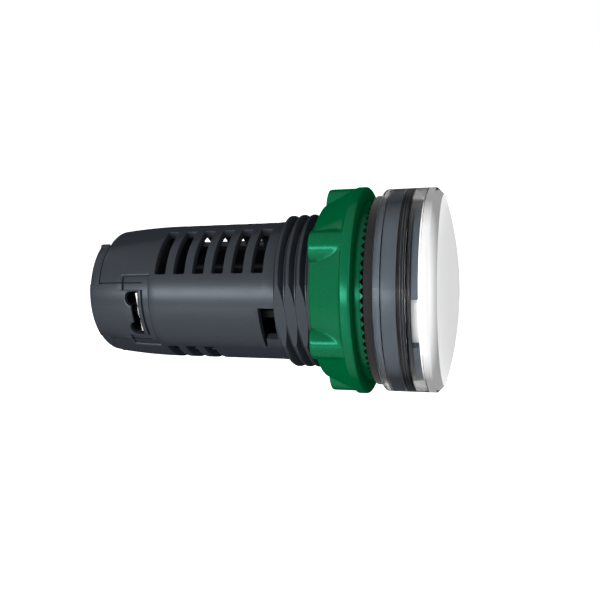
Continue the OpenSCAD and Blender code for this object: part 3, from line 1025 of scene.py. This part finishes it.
    def shell(self) -> Shape:
        """Builds the vented wall, softened at its skin and open at the hidden seam.

        Returns:
            The wall, round the axis.
        """
        made = Shape()
        for outline in [self._outer_edge(), *self._vent_windows(), self._side_window()]:
            made.wire(outline)
        made.fill().thicken(self.wall)
        seam = FULL_TURN * self.per_degree - NEAR
        low, high = self.recess_backs
        around = self.recess_edge + self.recess_clear
        made.soften(
            self.recess_edge,
            3,
            lambda e: all(v.co.z > -NEAR and low - NEAR < v.co.y < high + NEAR for v in e.verts),
        )
        made.soften(
            self.edge,
            2,
            lambda e: all(v.co.z > -NEAR for v in e.verts)
            and not all(v.co.x < NEAR for v in e.verts)
            and not all(v.co.x > seam for v in e.verts)
            and not all(v.co.y < self.neck_back + NEAR for v in e.verts)
            and not all(low - around < v.co.y < high + around for v in e.verts),
        )
        self.bend(made).merge()
        walls = [f for f in made.bm.faces if all(v.co.x > 0.0 and abs(v.co.z) < NEAR / 10 for v in f.verts)]
        bmesh.ops.delete(made.bm, geom=walls, context="FACES")
        return made

    def recess_frame(self) -> Shape:
        """Builds the floor of the recess that runs round both wire windows.

        Returns:
            The floor, round the axis.
        """
        reach, gap = self.recess_angle + self.recess_reach, self.cheek_angle
        front, back = self.recess_backs[0] - self.recess_overlap, self.recess_backs[1] + self.recess_overlap
        line = [(-reach, back), (-gap, back), (-gap, self.window_front)]
        line += [(gap, self.window_front), (gap, back), (reach, back), (reach, front), (-reach, front)]
        made = Shape()
        for side in Side:
            made.wire(self.laid((side.middle + a, b) for a, b in line))
        made.fill().thicken(self.wall)
        return self.bend(made, self.recess_depth)

    def thread(self) -> Shape:
        """Builds the thread's ridge, cut by the flats, the side windows and the foremost vents.

        Returns:
            The ridge.
        """
        span = self.thread_back + 1.0
        cutters = []
        for side in Side:
            block = Shape()
            bmesh.ops.create_cube(block.bm, size=1.0)
            block.move(lambda p: Vector((p.x * self.flat_cut, p.y * span, p.z * 3 * self.radius)))
            middle = Vector((side.value * (self.flat + self.flat_cut / 2), span / 2, 0.0))
            block.move(lambda p: p + middle)
            cutters.append(block)
            low, high = (angle + 180.0 - side.middle for angle in self.window_angles)
            cutters.append(self._cutter(low, high, *self.window_backs))
            tail_back = self.window_backs[1]
            cutters.append(self._cutter(high - 1.0, high + self.window_tail, tail_back - 0.4, tail_back))
        low, high = self.vent_angles
        foremost = self.upper_vents - 1
        cutters.append(self._cutter(low, high, *self._vent(foremost, self.vent_shift)))
        cutters.append(self._cutter(180.0 - high, 180.0 - low, *self._vent(foremost)))
        return cut(self._ridge(), cutters)

    def _cutter(self, low: float, high: float, first: float, last: float) -> Shape:
        """Builds the block that opens a window through the ridge.

        Args:
            low: Its first direction, in degrees.
            high: Its last direction.
            first: Its front edge, behind the panel.
            last: Its back edge.

        Returns:
            The block.
        """
        made = Shape()
        made.wire(window(self.bore - 1.5, self.crest + 1.0, first, last))
        return made.sweep(low, high, 24)

    def neck(self) -> Shape:
        """Builds the plain neck in front of the thread, with its flats behind the panel.

        Returns:
            The neck.
        """
        inner, front = self.bore - 0.1, self.neck_front
        line = [(inner, front, 0.0), (self.neck_radius, front, 0.0), (self.neck_radius, 0.0, 0.0)]
        line += [(self.neck_radius, self.neck_back, 0.06), (inner, self.neck_back, 0.0)]
        return turned(line).move(self._pressed)

    def _pressed(self, point: Vector) -> Vector:
        """Presses a point of the neck in to the flats behind the panel's front face."""
        if point.y < NEAR:
            return point
        return Vector((max(-self.flat, min(self.flat, point.x)), point.y, point.z))

    def _ridge(self) -> Shape:
        """Sweeps the thread's ridge along its helix, with a run-out at each end.

        Returns:
            The ridge.
        """
        flank = math.tan(math.radians(self.flank))
        root = self.crest - self.depth
        foot = root - self.ridge_foot
        half_base = self.crest_width / 2 + self.depth * flank
        middle = self.thread_back - half_base
        reach = half_base + self.ridge_foot * flank
        made = Shape()
        made.wire(
            [
                (foot, middle + reach, 0.0),
                (self.crest, middle + self.crest_width / 2, self.crest_round),
                (self.crest, middle - self.crest_width / 2, self.crest_round),
                (foot, middle - reach, 0.0),
            ]
        )
        bmesh.ops.edgeloop_fill(made.bm, edges=made.bm.edges[:])
        made.rotate(self.phase)
        made.bm.verts.index_update()
        row = len(made.bm.verts)
        steps = self.turn_steps
        made.spin(FULL_TURN * self.turns, steps * self.turns, climb=-self.pitch / steps)
        made.bm.verts.ensure_lookup_table()
        for index, vert in enumerate(made.bm.verts):
            turn = (index // row) / steps
            rise, fall = (turn - self.ridge_start) / self.ridge_rise, (self.turns - turn) / self.ridge_fall
            share = max(self.ridge_least, min(1.0, rise, fall))
            out = math.hypot(vert.co.x, vert.co.z)
            if out > root:
                factor = (root - self.ridge_sink * (1.0 - share) + (out - root) * share) / out
                vert.co.x *= factor
                vert.co.z *= factor
        return made

    def build(self) -> None:
        """Makes the barrel's pieces."""
        nodes = ["barrel_housing"]
        self.shell().piece("barrel_shell", HOUSING, Body.HOUSING, nodes)
        self.recess_frame().piece("recess_frame", HOUSING, Body.HOUSING, nodes)
        self.thread().piece("thread_ridge", HOUSING, Body.HOUSING, nodes, sharp=18.0)
        self.neck().piece("barrel_neck", HOUSING, Body.HOUSING, nodes, sharp=18.0)


# The head


@dataclass
class Head:
    """The head: ringed moulding, gasket, seal, diffuser and clear lens."""

    radius: float = 14.0
    gasket: float = 1.2
    gasket_radius: float = 13.15
    bore: float = 10.9
    hook_radius: float = 12.8
    rib_radius: float = 13.5
    crown_radius: float = 12.3
    cup_radius: float = 11.3
    rib_front: float = 4.15
    seal_front: float = 5.2
    crown_front: float = 6.6
    crown_notch: float = 0.95
    notch_angle: float = 14.4
    lug_angles: tuple[float, float] = (141.0, 178.0)
    rim_front: float = 8.0
    dome_front: float = 10.8
    dome_edge: float = 13.05
    wall: float = 1.4
    lens_wall: float = 1.5
    contact: float = 0.03
    press: float = 0.12
    slant: float = 0.9
    # How far the seal's painted-shade lip runs forward over the crown.
    lip: float = 0.62
    glint_width: float = 0.07
    # Places of the painted glint lines on the seal and on its lip.
    seal_glint_lines: tuple[float, ...] = (4.62, 4.95)
    lip_glint_lines: tuple[float, ...] = (5.45, 5.62)
    lip_glint_radius: float = 12.5
    dome_rise: float = 0.95
    dome_steps: int = 14
    dome_facing: float = 0.85
    hook: float = 1.15
    hook_inside: float = 0.9
    cup_back: float = 3.65
    seat_front: float = 2.6
    fit: float = 0.1
    joint: float = 0.05
    lens_back_round: float = 0.4
    tooth_steps: int = 140
    tooth_round: float = 0.1
    lug_rise: float = 0.08
    lug_steps: int = 36
    glint_rise: float = 0.012

    @property
    def rib_face(self) -> float:
        """The radius of the rib that the lens presses on."""
        return self.rib_radius + self.press

    @property
    def dome_radius(self) -> float:
        """The radius of the dome's sphere."""
        rise = self.dome_front - self.rim_front - self.dome_rise
        return (self.dome_edge**2 + rise**2) / (2 * rise)

    def dome(self, shrink: float, edge: float, apex: float, inwards: bool) -> list[Corner]:
        """Lists points over a dome's profile.

        Args:
            shrink: How far the dome lies under the lens's outer face.
            edge: The radius that it starts at.
            apex: How far in front of the panel it reaches.
            inwards: Whether the points run from the edge to the axis, or back.

        Returns:
            The corners.
        """
        ball = self.dome_radius - shrink
        points = []
        for i in range(self.dome_steps + 1):
            out = edge * (1 - i / self.dome_steps)
            points.append((out, -(apex - ball + math.sqrt(ball * ball - out * out)), 0.0))
        return points if inwards else points[::-1]

    def lens(self) -> Shape:
        """Builds the clear lens, slanted inside its corner as it is outside.

        Returns:
            The lens.
        """
        bore = self.radius - self.wall
        inside = self.dome(self.lens_wall, bore - self.slant, self.dome_front - self.lens_wall, True)
        hook, rib = self.hook_radius + self.fit, self.rib_radius + self.fit
        seal_front = -self.seal_front - self.joint
        line = [
            *self.dome(0.0, self.dome_edge, self.dome_front, False),
            (self.radius, -self.rim_front, 0.1),
            (self.radius, -self.gasket, self.lens_back_round),
            (hook, -self.gasket, 0.0),
            (hook, -self.gasket - self.hook_inside, 0.0),
            (rib, -self.gasket - self.hook_inside - 0.2, 0.0),
            (rib, seal_front, 0.1),
            (bore, seal_front, 0.0),
            (bore, inside[0][1] + self.slant, 0.0),
            *inside,
        ]
        return turned(line, closed=False)

    def diffuser(self) -> Shape:
        """Builds the white cup under the lens.

        Returns:
            The cup.
        """
        stem, edge = self.cup_radius - self.fit, self.radius - self.wall - self.fit
        top = self.dome_front - self.lens_wall + self.contact
        shrink = self.lens_wall - self.contact
        inset = self.slant - self.fit
        shoulder = -self.crown_front - self.joint
        outside = self.dome(shrink, edge - inset, top, False)
        line = [
            *outside,
            (edge, outside[-1][1] + inset, 0.0),
            (edge, shoulder, 0.15),
            (stem, shoulder, 0.0),
            (stem, -self.cup_back, 0.0),
            (stem - 1.0, -self.cup_back, 0.0),
            *self.dome(shrink, stem - 1.0, top - 1.0, True),
        ]
        return turned(line, closed=False)

    def moulding(self) -> Shape:
        """Builds the ringed moulding behind the seal, with its crown's teeth and the snap lugs.

        Returns:
            The moulding.
        """
        inner, notch = self.bore - 2.0, -self.crown_front + self.crown_notch
        hook = -self.gasket - self.hook
        line = [
            (inner, -self.gasket, 0.0),
            (self.hook_radius, -self.gasket, 0.15),
            (self.hook_radius, hook, 0.05),
            (self.rib_face, hook, 0.12),
            (self.rib_face, -self.rib_front, 0.04),
            (self.crown_radius, -self.rib_front, 0.0),
            (self.crown_radius, notch, 0.0),
            (self.cup_radius, notch, 0.0),
            (self.cup_radius, -self.seat_front, 0.0),
            (inner, -self.seat_front, 0.0),
        ]
        made = turned(line)
        for side in Side:
            tooth = Shape()
            tooth.wire(window(self.cup_radius, self.crown_radius, -self.crown_front, notch + 0.02))
            start = side.middle + self.notch_angle
            tooth.sweep(start, start + 180.0 - 2 * self.notch_angle, self.tooth_steps)
            root = 0.5 - self.crown_front
            tooth.tidy()
            tooth.soften(self.tooth_round, 2, lambda e: all(v.co.y < root for v in e.verts), least=60.0)
            made.add(tooth)
            lug = Shape()
            top = self.hook_radius + self.lug_rise
            lug.wire(window(self.hook_radius - 0.3, top, hook + 0.02, -self.gasket - 0.6))
            low, high = (angle + 180.0 - side.middle for angle in self.lug_angles)
            made.add(lug.sweep(low, high, self.lug_steps))
        return made

    def seal(self) -> Shape:
        """Builds the black seal, with a thin black lip that runs forward round the crown as painted shade: a
        dark sheet over the crown's root where the groove there lies in shade.

        Returns:
            The seal.
        """
        inner, outer = self.crown_radius + self.joint, self.rib_face
        back, lip, tip = -self.rib_front - 0.06, inner + 0.15, -self.seal_front - self.lip
        line = [(inner, back, 0.0), (outer, back, 0.04), (outer, -self.seal_front, 0.06)]
        # The lip is painted shade, a dark sheet laid where the groove in front of the seal is in shade.
        line += [(lip, -self.seal_front, 0.0), (lip, tip, 0.05), (inner, tip, 0.0)]
        return turned(line)

    def painted_glint_rings(self) -> Shape:
        """Builds fine raised rings in the head's lighter plastic: painted glints that show as thin light
        lines on the seal and its lip.

        Returns:
            The rings.
        """
        rings = [(front, self.rib_face) for front in self.seal_glint_lines]
        rings += [(front, self.lip_glint_radius) for front in self.lip_glint_lines]
        half = self.glint_width / 2
        made = Shape()
        for front, out in rings:
            made.wire(window(out - 0.06, out + self.glint_rise, -front - half, -front + half))
        return made.turn()

    def build(self) -> None:
        """Makes the head's pieces."""
        self.moulding().piece("head_moulding", HEAD, Body.HOUSING, ["barrel_housing"])
        gasket = turned(window(self.bore + 0.1, self.gasket_radius, 0.02 - self.gasket, 0.0, 0.15))
        gasket.piece("gasket_ring", GASKET, Body.HOUSING, ["panel_gasket"])
        self.seal().piece("seal_ring", SEAL, Body.HOUSING, ["lens_seal"])
        # Painted glints: thin rings of the head's lighter plastic on the black seal.
        self.painted_glint_rings().piece("seal_glint_lines", HEAD, Body.HOUSING, ["lens_seal"])
        self.diffuser().piece("diffuser_cup", OPAL, Body.HOUSING, ["diffuser"], sharp=40.0)
        lens = self.lens().piece("clear_lens", LENS, Body.HOUSING, ["lens_cap"], sharp=30.0)
        lens.data.materials.append(dressed(DOME))
        for face in lens.data.polygons:
            if face.center.y < -self.rim_front * MM and face.normal.y < -self.dome_facing:
                face.material_index = 1


# The nut


@dataclass
class FixingNut:
    """The green fixing nut with its toothed ring."""

    radius: float = 14.45
    length: float = 7.2
    front: float = 1.35
    flange_back: float = 2.75
    front_round: float = 0.3
    hub: float = 12.2
    hub_round: float = 0.3
    cone_inset: float = 0.3
    cone_steps: int = 16
    body_steps: int = 540
    ring_steps: int = 312
    land: float = 14.35
    rib_count: int = 6
    rib_phase: float = 13.5
    rib_half: float = 0.15
    rib_round: float = 2.35
    rib_blend: float = 0.12
    rib_skin: float = 0.85
    rib_end: float = 0.5
    rib_end_drop: float = 0.28
    bore: float = 11.1
    lead_in: float = 0.5
    ring_radius: float = 12.5
    ring_bore: float = 11.15
    ring_front: float = 0.5
    ring_back: float = 1.75
    tooth_count: int = 66
    tooth_height: float = 0.45
    flat: float = 10.12

    def _outer(self, back: float) -> float:
        """Gives the radius between the ribs, which narrows towards the rear."""
        share = (self.length - back) / (self.length - self.flange_back)
        return self.hub + (self.radius - self.cone_inset - self.hub) * min(1.0, share)

    def _lift(self, degrees: float, floor: float) -> float:
        """Gives how far a rib stands above the floor between the ribs.

        Args:
            degrees: The direction from the axis.
            floor: The radius between the ribs.

        Returns:
            The height, which fades softly to nothing beside the rib.
        """
        span = FULL_TURN / self.rib_count
        away = abs((degrees - self.rib_phase + span / 2) % span - span / 2)
        across = max(0.0, math.radians(away) * self.land - self.rib_half)
        drop = self.rib_round - math.sqrt(max(0.0, self.rib_round**2 - across**2))
        height = self.land - drop - floor
        return 0.5 * (height + math.hypot(height, self.rib_blend))

    def body(self) -> Shape:
        """Builds the nut: a turned profile whose cone is lifted into ribs.

        Returns:
            The nut.
        """
        slope = (self.length - self.flange_back) / self.cone_steps
        backs = [self.length - slope * i for i in range(1, self.cone_steps)]
        rim, seat = self.ring_radius - 0.05, self.ring_back + 0.05
        line = [
            (self.bore, seat, 0.0),
            (self.bore, self.length - self.lead_in, 0.0),
            (self.bore + self.lead_in, self.length, 0.0),
            (self.hub - self.hub_round - 0.5, self.length, 0.0),
            (self.hub, self.length, self.hub_round),
            *[(self._outer(back), back, 0.0) for back in backs],
            (self.radius - self.cone_inset, self.flange_back + 0.05, 0.0),
            (self.radius, self.flange_back - 0.15, 0.12),
            (self.radius, self.front, self.front_round),
            (rim, self.front, 0.0),
            (rim, seat, 0.0),
        ]
        return turned(line, steps=self.body_steps).move(self._ribbed)

    def _ribbed(self, point: Vector) -> Vector:
        """Lifts a point of the cone on to the rib that it belongs to.

        Args:
            point: The point on the turned profile.

        Returns:
            Its place on the ribbed nut.
        """
        out = math.hypot(point.x, point.z)
        if point.y < self.flange_back or out < self.hub - self.rib_skin:
            return point
        floor = self._outer(point.y)
        end = max(0.0, point.y - (self.length - self.rib_end)) / self.rib_end
        lift = self._lift(math.degrees(math.atan2(point.z, point.x)), floor) - self.rib_end_drop * end * end
        share = max(0.0, 1.0 - (floor - out) / self.rib_skin)
        factor = min(self.land, out + max(0.0, lift) * share) / out
        return Vector((point.x * factor, point.y, point.z * factor))

    def ring(self) -> Shape:
        """Builds the toothed ring that bites the panel.

        Returns:
            The ring and its teeth.
        """
        profile = window(self.ring_bore, self.ring_radius, self.ring_front, self.ring_back, 0.05)
        made = turned(profile, steps=self.ring_steps).move(self._keyed)
        inner, outer = self.ring_radius - 1.0, self.ring_radius - 0.04
        foot, tip = self.ring_front + 0.02, self.ring_front - self.tooth_height
        half = math.pi * inner / self.tooth_count - 0.01
        tooth = Shape()
        tooth.wire([(-half, foot, 0.0), (half, foot, 0.0), (0.0, tip, 0.0)])
        tooth.fill().thicken(outer - inner).soften(0.03, 1)
        tooth.move(lambda p: Vector((outer + p.z, p.y, p.x)))
        others = self.tooth_count - 1
        return made.add(tooth.spin(FULL_TURN * others / self.tooth_count, others, apart=True))

    def _keyed(self, point: Vector) -> Vector:
        """Gives the ring's bore its two flats."""
        if math.hypot(point.x, point.z) > self.ring_bore + 0.3:
            return point
        return Vector((max(-self.flat, min(self.flat, point.x)), point.y, point.z))

    def build(self) -> None:
        """Makes the nut's pieces."""
        self.body().piece("nut_body", GREEN, Body.NUT, ["fixing_nut"], sharp=38.0)
        self.ring().piece("toothed_ring", GREEN, Body.RING, ["grip_ring"])


# The rear end


@dataclass
class RearEnd:
    """The terminal block between the barrel's tongues, with its plates, clamps and screws."""

    barrel: Barrel = field(default_factory=Barrel)
    plug: float = 8.78
    plug_front: float = 30.6
    room_front: float = 32.65
    room_back: float = 36.95
    end: float = 41.0
    end_radius: float = 9.13
    tongue_radius: float = 9.33
    groove: float = 3.12
    screw_x: float = 5.9
    well: float = 2.45
    room_inner: float = 3.25
    room_half: float = 3.05
    window_half: float = 3.22
    window_back: float = 33.9
    lobe: float = 1.07
    lobe_y: float = 2.25
    lobe_back: float = 33.85
    gap: float = 0.18
    lip: float = 0.62
    tab: float = 3.66
    end_round: float = 0.32
    rim_round: float = 0.28
    seam_round: float = 0.09
    metal_round: float = 0.06
    screw_round: float = 0.05
    plate_reach: float = 1.2

    def _circle(self, radius: float, centre: float = 0.0, steps: int = 96) -> list[Corner]:
        """Draws a circle with its centre on the X axis."""
        return arc(radius, (centre, 0.0), 0.0, FULL_TURN * (steps - 1) / steps, steps - 1)

    def _wells(self) -> list[list[Corner]]:
        """Draws both screwdriver wells."""
        return [self._circle(self.well, side.value * self.screw_x, 48) for side in Side]

    def _roomed(self) -> list[Corner]:
        """Draws the plug's section where both clamp rooms open it.

        Returns:
            The outline.
        """
        inner, half = self.room_inner, self.room_half
        edge = math.degrees(math.asin(half / self.plug))
        corners: list[Corner] = []
        for side in Side:
            start = side.middle + edge
            corners += arc(self.plug, (0.0, 0.0), start, start + 180.0 - 2 * edge, 48)
            corners += [(-side.value * inner, side.value * height, 0.1) for height in (half, -half)]
        return corners

    def core(self) -> Shape:
        """Builds the plug with its clamp rooms and wells, and the grooved rear face.

        Returns:
            The core.
        """
        made = Slab(self.plug_front, self.room_front, [self._circle(self.plug)]).shape()
        made.add(Slab(self.room_front, self.room_back, [self._roomed()], 0.0).shape())
        made.add(Slab(self.room_back, self.barrel.length, [self._circle(self.plug), *self._wells()]).shape())
        half_angle = math.degrees(math.acos(self.groove / self.end_radius))
        for side, well in zip(Side, self._wells()):
            outline = arc(self.tongue_radius - 0.05, (0.0, 0.0), -half_angle, half_angle, 64)
            if side is Side.LEFT:
                outline = [(-a, b, c) for a, b, c in reversed(outline)]
            rim = Slab(self.barrel.length + self.gap, self.end, [outline, well], self.rim_round).shape()
            made.add(rim.move(self._tapered))
        return made

    def _tapered(self, point: Vector) -> Vector:
        """Draws the rear face's rim in to follow the barrel's taper.

        Args:
            point: A point of the rear face.

        Returns:
            Its place under the barrel's skin.
        """
        out = math.hypot(point.x, point.z)
        if out < self.tongue_radius - 1.0 or abs(point.x) < self.groove + 0.5:
            return point
        factor = (self.barrel.skin(point.y) - 0.06) / (self.tongue_radius - 0.05)
        return Vector((point.x * factor, point.y, point.z * factor))

    def _wire_window(self, side: Side) -> list[Corner]:
        """Draws one wire window with its two round lobes.

        Args:
            side: The side that it is on.

        Returns:
            The outline, laid out flat.
        """
        scale = self.barrel.radius / (self.barrel.radius - 0.6)
        half, front = self.window_half, self.barrel.window_front + self.lip
        corners = [(-half, front), (-half, self.window_back)]
        for centre in (-self.lobe_y, self.lobe_y):
            lobe = arc(self.lobe, (centre, self.lobe_back), 180.0, 0.0, 16)
            corners += [(a, b) for a, b, _ in lobe if b >= self.window_back - NEAR and abs(a) < half - 0.03]
        corners += [(half, self.window_back), (half, front)]
        middle = side.middle * self.barrel.per_degree
        return [(middle + a * scale, b, 0.0) for a, b in corners]

    def cheek(self, side: Side) -> Shape:
        """Builds one cheek: the outer skin with the wire window's tab, and the recessed pad round the tab.

        Args:
            side: The side that it is on.

        Returns:
            The cheek.
        """
        barrel = self.barrel
        reach = barrel.cheek_angle * barrel.per_degree - self.gap
        middle = side.middle * barrel.per_degree
        front, back = barrel.window_front + 0.05, barrel.recess_backs[1]
        line = [(-reach, back), (-self.tab, back), (-self.tab, front), (self.tab, front), (self.tab, back)]
        line += [(reach, back), (reach, self.end), (-reach, self.end)]
        skin = Shape()
        skin.wire([(middle + a, b, 0.0) for a, b in line])
        skin.wire(self._wire_window(side))
        skin.fill().thicken(barrel.wall)
        end = self.end
        skin.soften(self.end_round, 3, lambda e: all(v.co.z > -NEAR and v.co.y > end - NEAR for v in e.verts))
        skin.soften(self.seam_round, 2, lambda e: all(v.co.z > -NEAR and v.co.y < end - 0.4 for v in e.verts))
        barrel.bend(skin)
        pad = Shape()
        pad.wire(window(middle - reach, middle + reach, front - 0.25, back + 0.15))
        pad.wire(self._wire_window(side))
        pad.fill().thicken(barrel.wall)
        barrel.bend(pad, barrel.recess_depth + 0.01)
        return skin.add(pad)

    def softened(
        self, node: str, name: str, finish: Finish, body: Body, width: float, reach: float = 0.0
    ) -> None:
        """Makes a merged, edge-softened copy of a metal part's solid.

        Args:
            node: The solid.
            name: The new piece's name.
            finish: What it is made of.
            body: The body that it moves with.
            width: How far its edges are rounded.
            reach: How much further its outer end stands towards the wire window.
        """
        made = Shape()
        made.bm.from_mesh(bpy.data.objects[node].data)
        bmesh.ops.scale(made.bm, vec=(1 / MM, 1 / MM, 1 / MM), verts=made.bm.verts[:])
        made.merge()
        ends = max(abs(v.co.x) for v in made.bm.verts) - 0.3
        made.move(lambda p: Vector((p.x + math.copysign(reach, p.x) * (abs(p.x) > ends), p.y, p.z)))
        bmesh.ops.dissolve_limit(
            made.bm, angle_limit=math.radians(1.0), verts=made.bm.verts[:], edges=made.bm.edges[:]
        )
        made.soften(width, 2, least=45.0)
        made.piece(name, finish, body, [node])

    def build(self) -> None:
        """Makes the rear end's pieces."""
        self.core().piece("terminal_core", HOUSING, Body.HOUSING, ["terminal_block"])
        clamps, screws = (Body.LEFT_CLAMP, Body.RIGHT_CLAMP), (Body.LEFT_SCREW, Body.RIGHT_SCREW)
        for side, clamp, screw in zip(Side, clamps, screws):
            word = side.name.lower()
            self.cheek(side).piece(f"cheek_{word}", HOUSING, Body.HOUSING, ["terminal_block"])
            plate, edge = f"terminal_plate_{word}", self.metal_round
            self.softened(plate, f"wire_plate_{word}", BRASS, Body.HOUSING, edge, self.plate_reach)
            self.softened(f"clamp_plate_{word}", f"clamp_{word}", STEEL, clamp, edge)
            self.softened(f"terminal_screw_{word}", f"screw_{word}", STEEL, screw, self.screw_round)


# The studio


@dataclass(frozen=True)
class Lamp:
    """An area lamp: its place and size in millimetres, and its power in watts."""

    name: str
    place: Corner
    size: tuple[float, float]
    power: float

    def hang(self, target: Corner) -> None:
        """Hangs the lamp so that it faces a place.

        Args:
            target: The place, in millimetres.
        """
        data = bpy.data.lights.new(self.name, "AREA")
        data.shape = "RECTANGLE"
        data.size, data.size_y = self.size[0] * MM, self.size[1] * MM
        data.energy = self.power
        lamp = bpy.data.objects.new(self.name, data)
        bpy.context.scene.collection.objects.link(lamp)
        lamp.visible_transmission = False
        place = Vector(self.place)
        facing = (place - Vector(target)).to_track_quat("Z", "Y").to_matrix().to_4x4()
        lamp.matrix_world = Matrix.Translation(place * MM) @ facing


LAMPS = (
    Lamp("key", (-376.0, 170.0, 108.0), (300.0, 84.0), 1.12),
    Lamp("low", (-300.0, 160.0, -50.0), (240.0, 30.0), 0.08),
    Lamp("front", (-120.0, -380.0, 160.0), (240.0, 240.0), 0.36),
    Lamp("rear", (100.0, 360.0, 200.0), (240.0, 240.0), 0.4),
    Lamp("far", (360.0, 40.0, 200.0), (240.0, 240.0), 0.4),
)


@dataclass
class Studio:
    """The camera, lamps, floor and white surround."""

    lens_mm: float = 40.75
    sensor_mm: float = 36.0
    camera_mm: Corner = (-89.38, -16.30, 31.96)
    right: Corner = (0.2664, -0.9587, -0.0996)
    forward: Corner = (0.8980, 0.2844, -0.3357)
    target: Corner = (0.0, 12.0, 0.0)
    floor_mm: float = -75.0
    floor_grey: float = 0.8
    floor_glow: float = 0.85
    fill: float = 0.34

    def camera(self) -> None:
        """Sets the camera where the photograph was taken from."""
        data = bpy.data.cameras.new("camera")
        data.lens = self.lens_mm
        data.sensor_width = self.sensor_mm
        data.sensor_fit = "HORIZONTAL"
        data.clip_start = 0.002
        data.clip_end = 20.0
        camera = bpy.data.objects.new("camera", data)
        bpy.context.scene.collection.objects.link(camera)
        forward = Vector(self.forward).normalized()
        right = Vector(self.right).normalized()
        up = right.cross(forward).normalized()
        right = forward.cross(up).normalized()
        facing = Matrix((right, up, -forward)).transposed().to_4x4()
        camera.matrix_world = Matrix.Translation(Vector(self.camera_mm) * MM) @ facing
        bpy.context.scene.camera = camera

    def surround(self) -> None:
        """Gives the world an even light, and a white face to what sees it straight."""
        world = bpy.data.worlds.new("surround")
        bpy.context.scene.world = world
        graph = Graph(world)
        light = graph.node("ShaderNodeBackground", {}, {"Color": WHITE, "Strength": self.fill})
        white = graph.node("ShaderNodeBackground", {}, {"Color": WHITE, "Strength": 1.0})
        graph.surface(graph.mixed(graph.seen(), light, white))

    def floor(self) -> None:
        """Lays the pale floor, white to what sees it straight apart from the part's shadow."""
        bm = bmesh.new()
        bmesh.ops.create_grid(bm, x_segments=1, y_segments=1, size=3.0)
        bmesh.ops.translate(bm, vec=(0.0, 0.0, self.floor_mm * MM), verts=bm.verts[:])
        mesh = bpy.data.meshes.new("floor")
        bm.to_mesh(mesh)
        bm.free()
        floor = bpy.data.objects.new("floor", mesh)
        bpy.context.scene.collection.objects.link(floor)
        made = bpy.data.materials.new("pale_floor")
        graph = Graph(made)
        plain = graph.node("ShaderNodeBsdfDiffuse", {}, {"Color": (*[self.floor_grey] * 3, 1.0)})
        glow = graph.node("ShaderNodeEmission", {}, {"Color": WHITE, "Strength": self.floor_glow})
        glowing = graph.node("ShaderNodeAddShader", {}, {0: plain, 1: glow})
        graph.surface(graph.mixed(graph.seen(), plain, glowing))
        mesh.materials.append(made)

    def build(self) -> None:
        """Sets up the studio."""
        bpy.context.scene.view_settings.view_transform = "Standard"
        self.camera()
        for lamp in LAMPS:
            lamp.hang(self.target)
        self.surround()
        self.floor()


def dress_nodes(nodes: dict[str, bpy.types.Object]) -> None:
    """Gives each solid that stays in view its own material.

    Args:
        nodes: The frame's solids by name.
    """
    for name, finish in NODE_LOOKS.items():
        mesh = nodes[name].data
        mesh.materials.clear()
        mesh.materials.append(dressed(finish))


def main() -> None:
    """Builds the part's looks round its frame."""
    logging.basicConfig(level=logging.INFO, format="%(message)s")
    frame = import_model()
    dress_nodes(frame["nodes"])
    barrel = Barrel()
    barrel.build()
    Head().build()
    FixingNut().build()
    RearEnd(barrel).build()
    Studio().build()


if __name__ == "__main__":
    main()
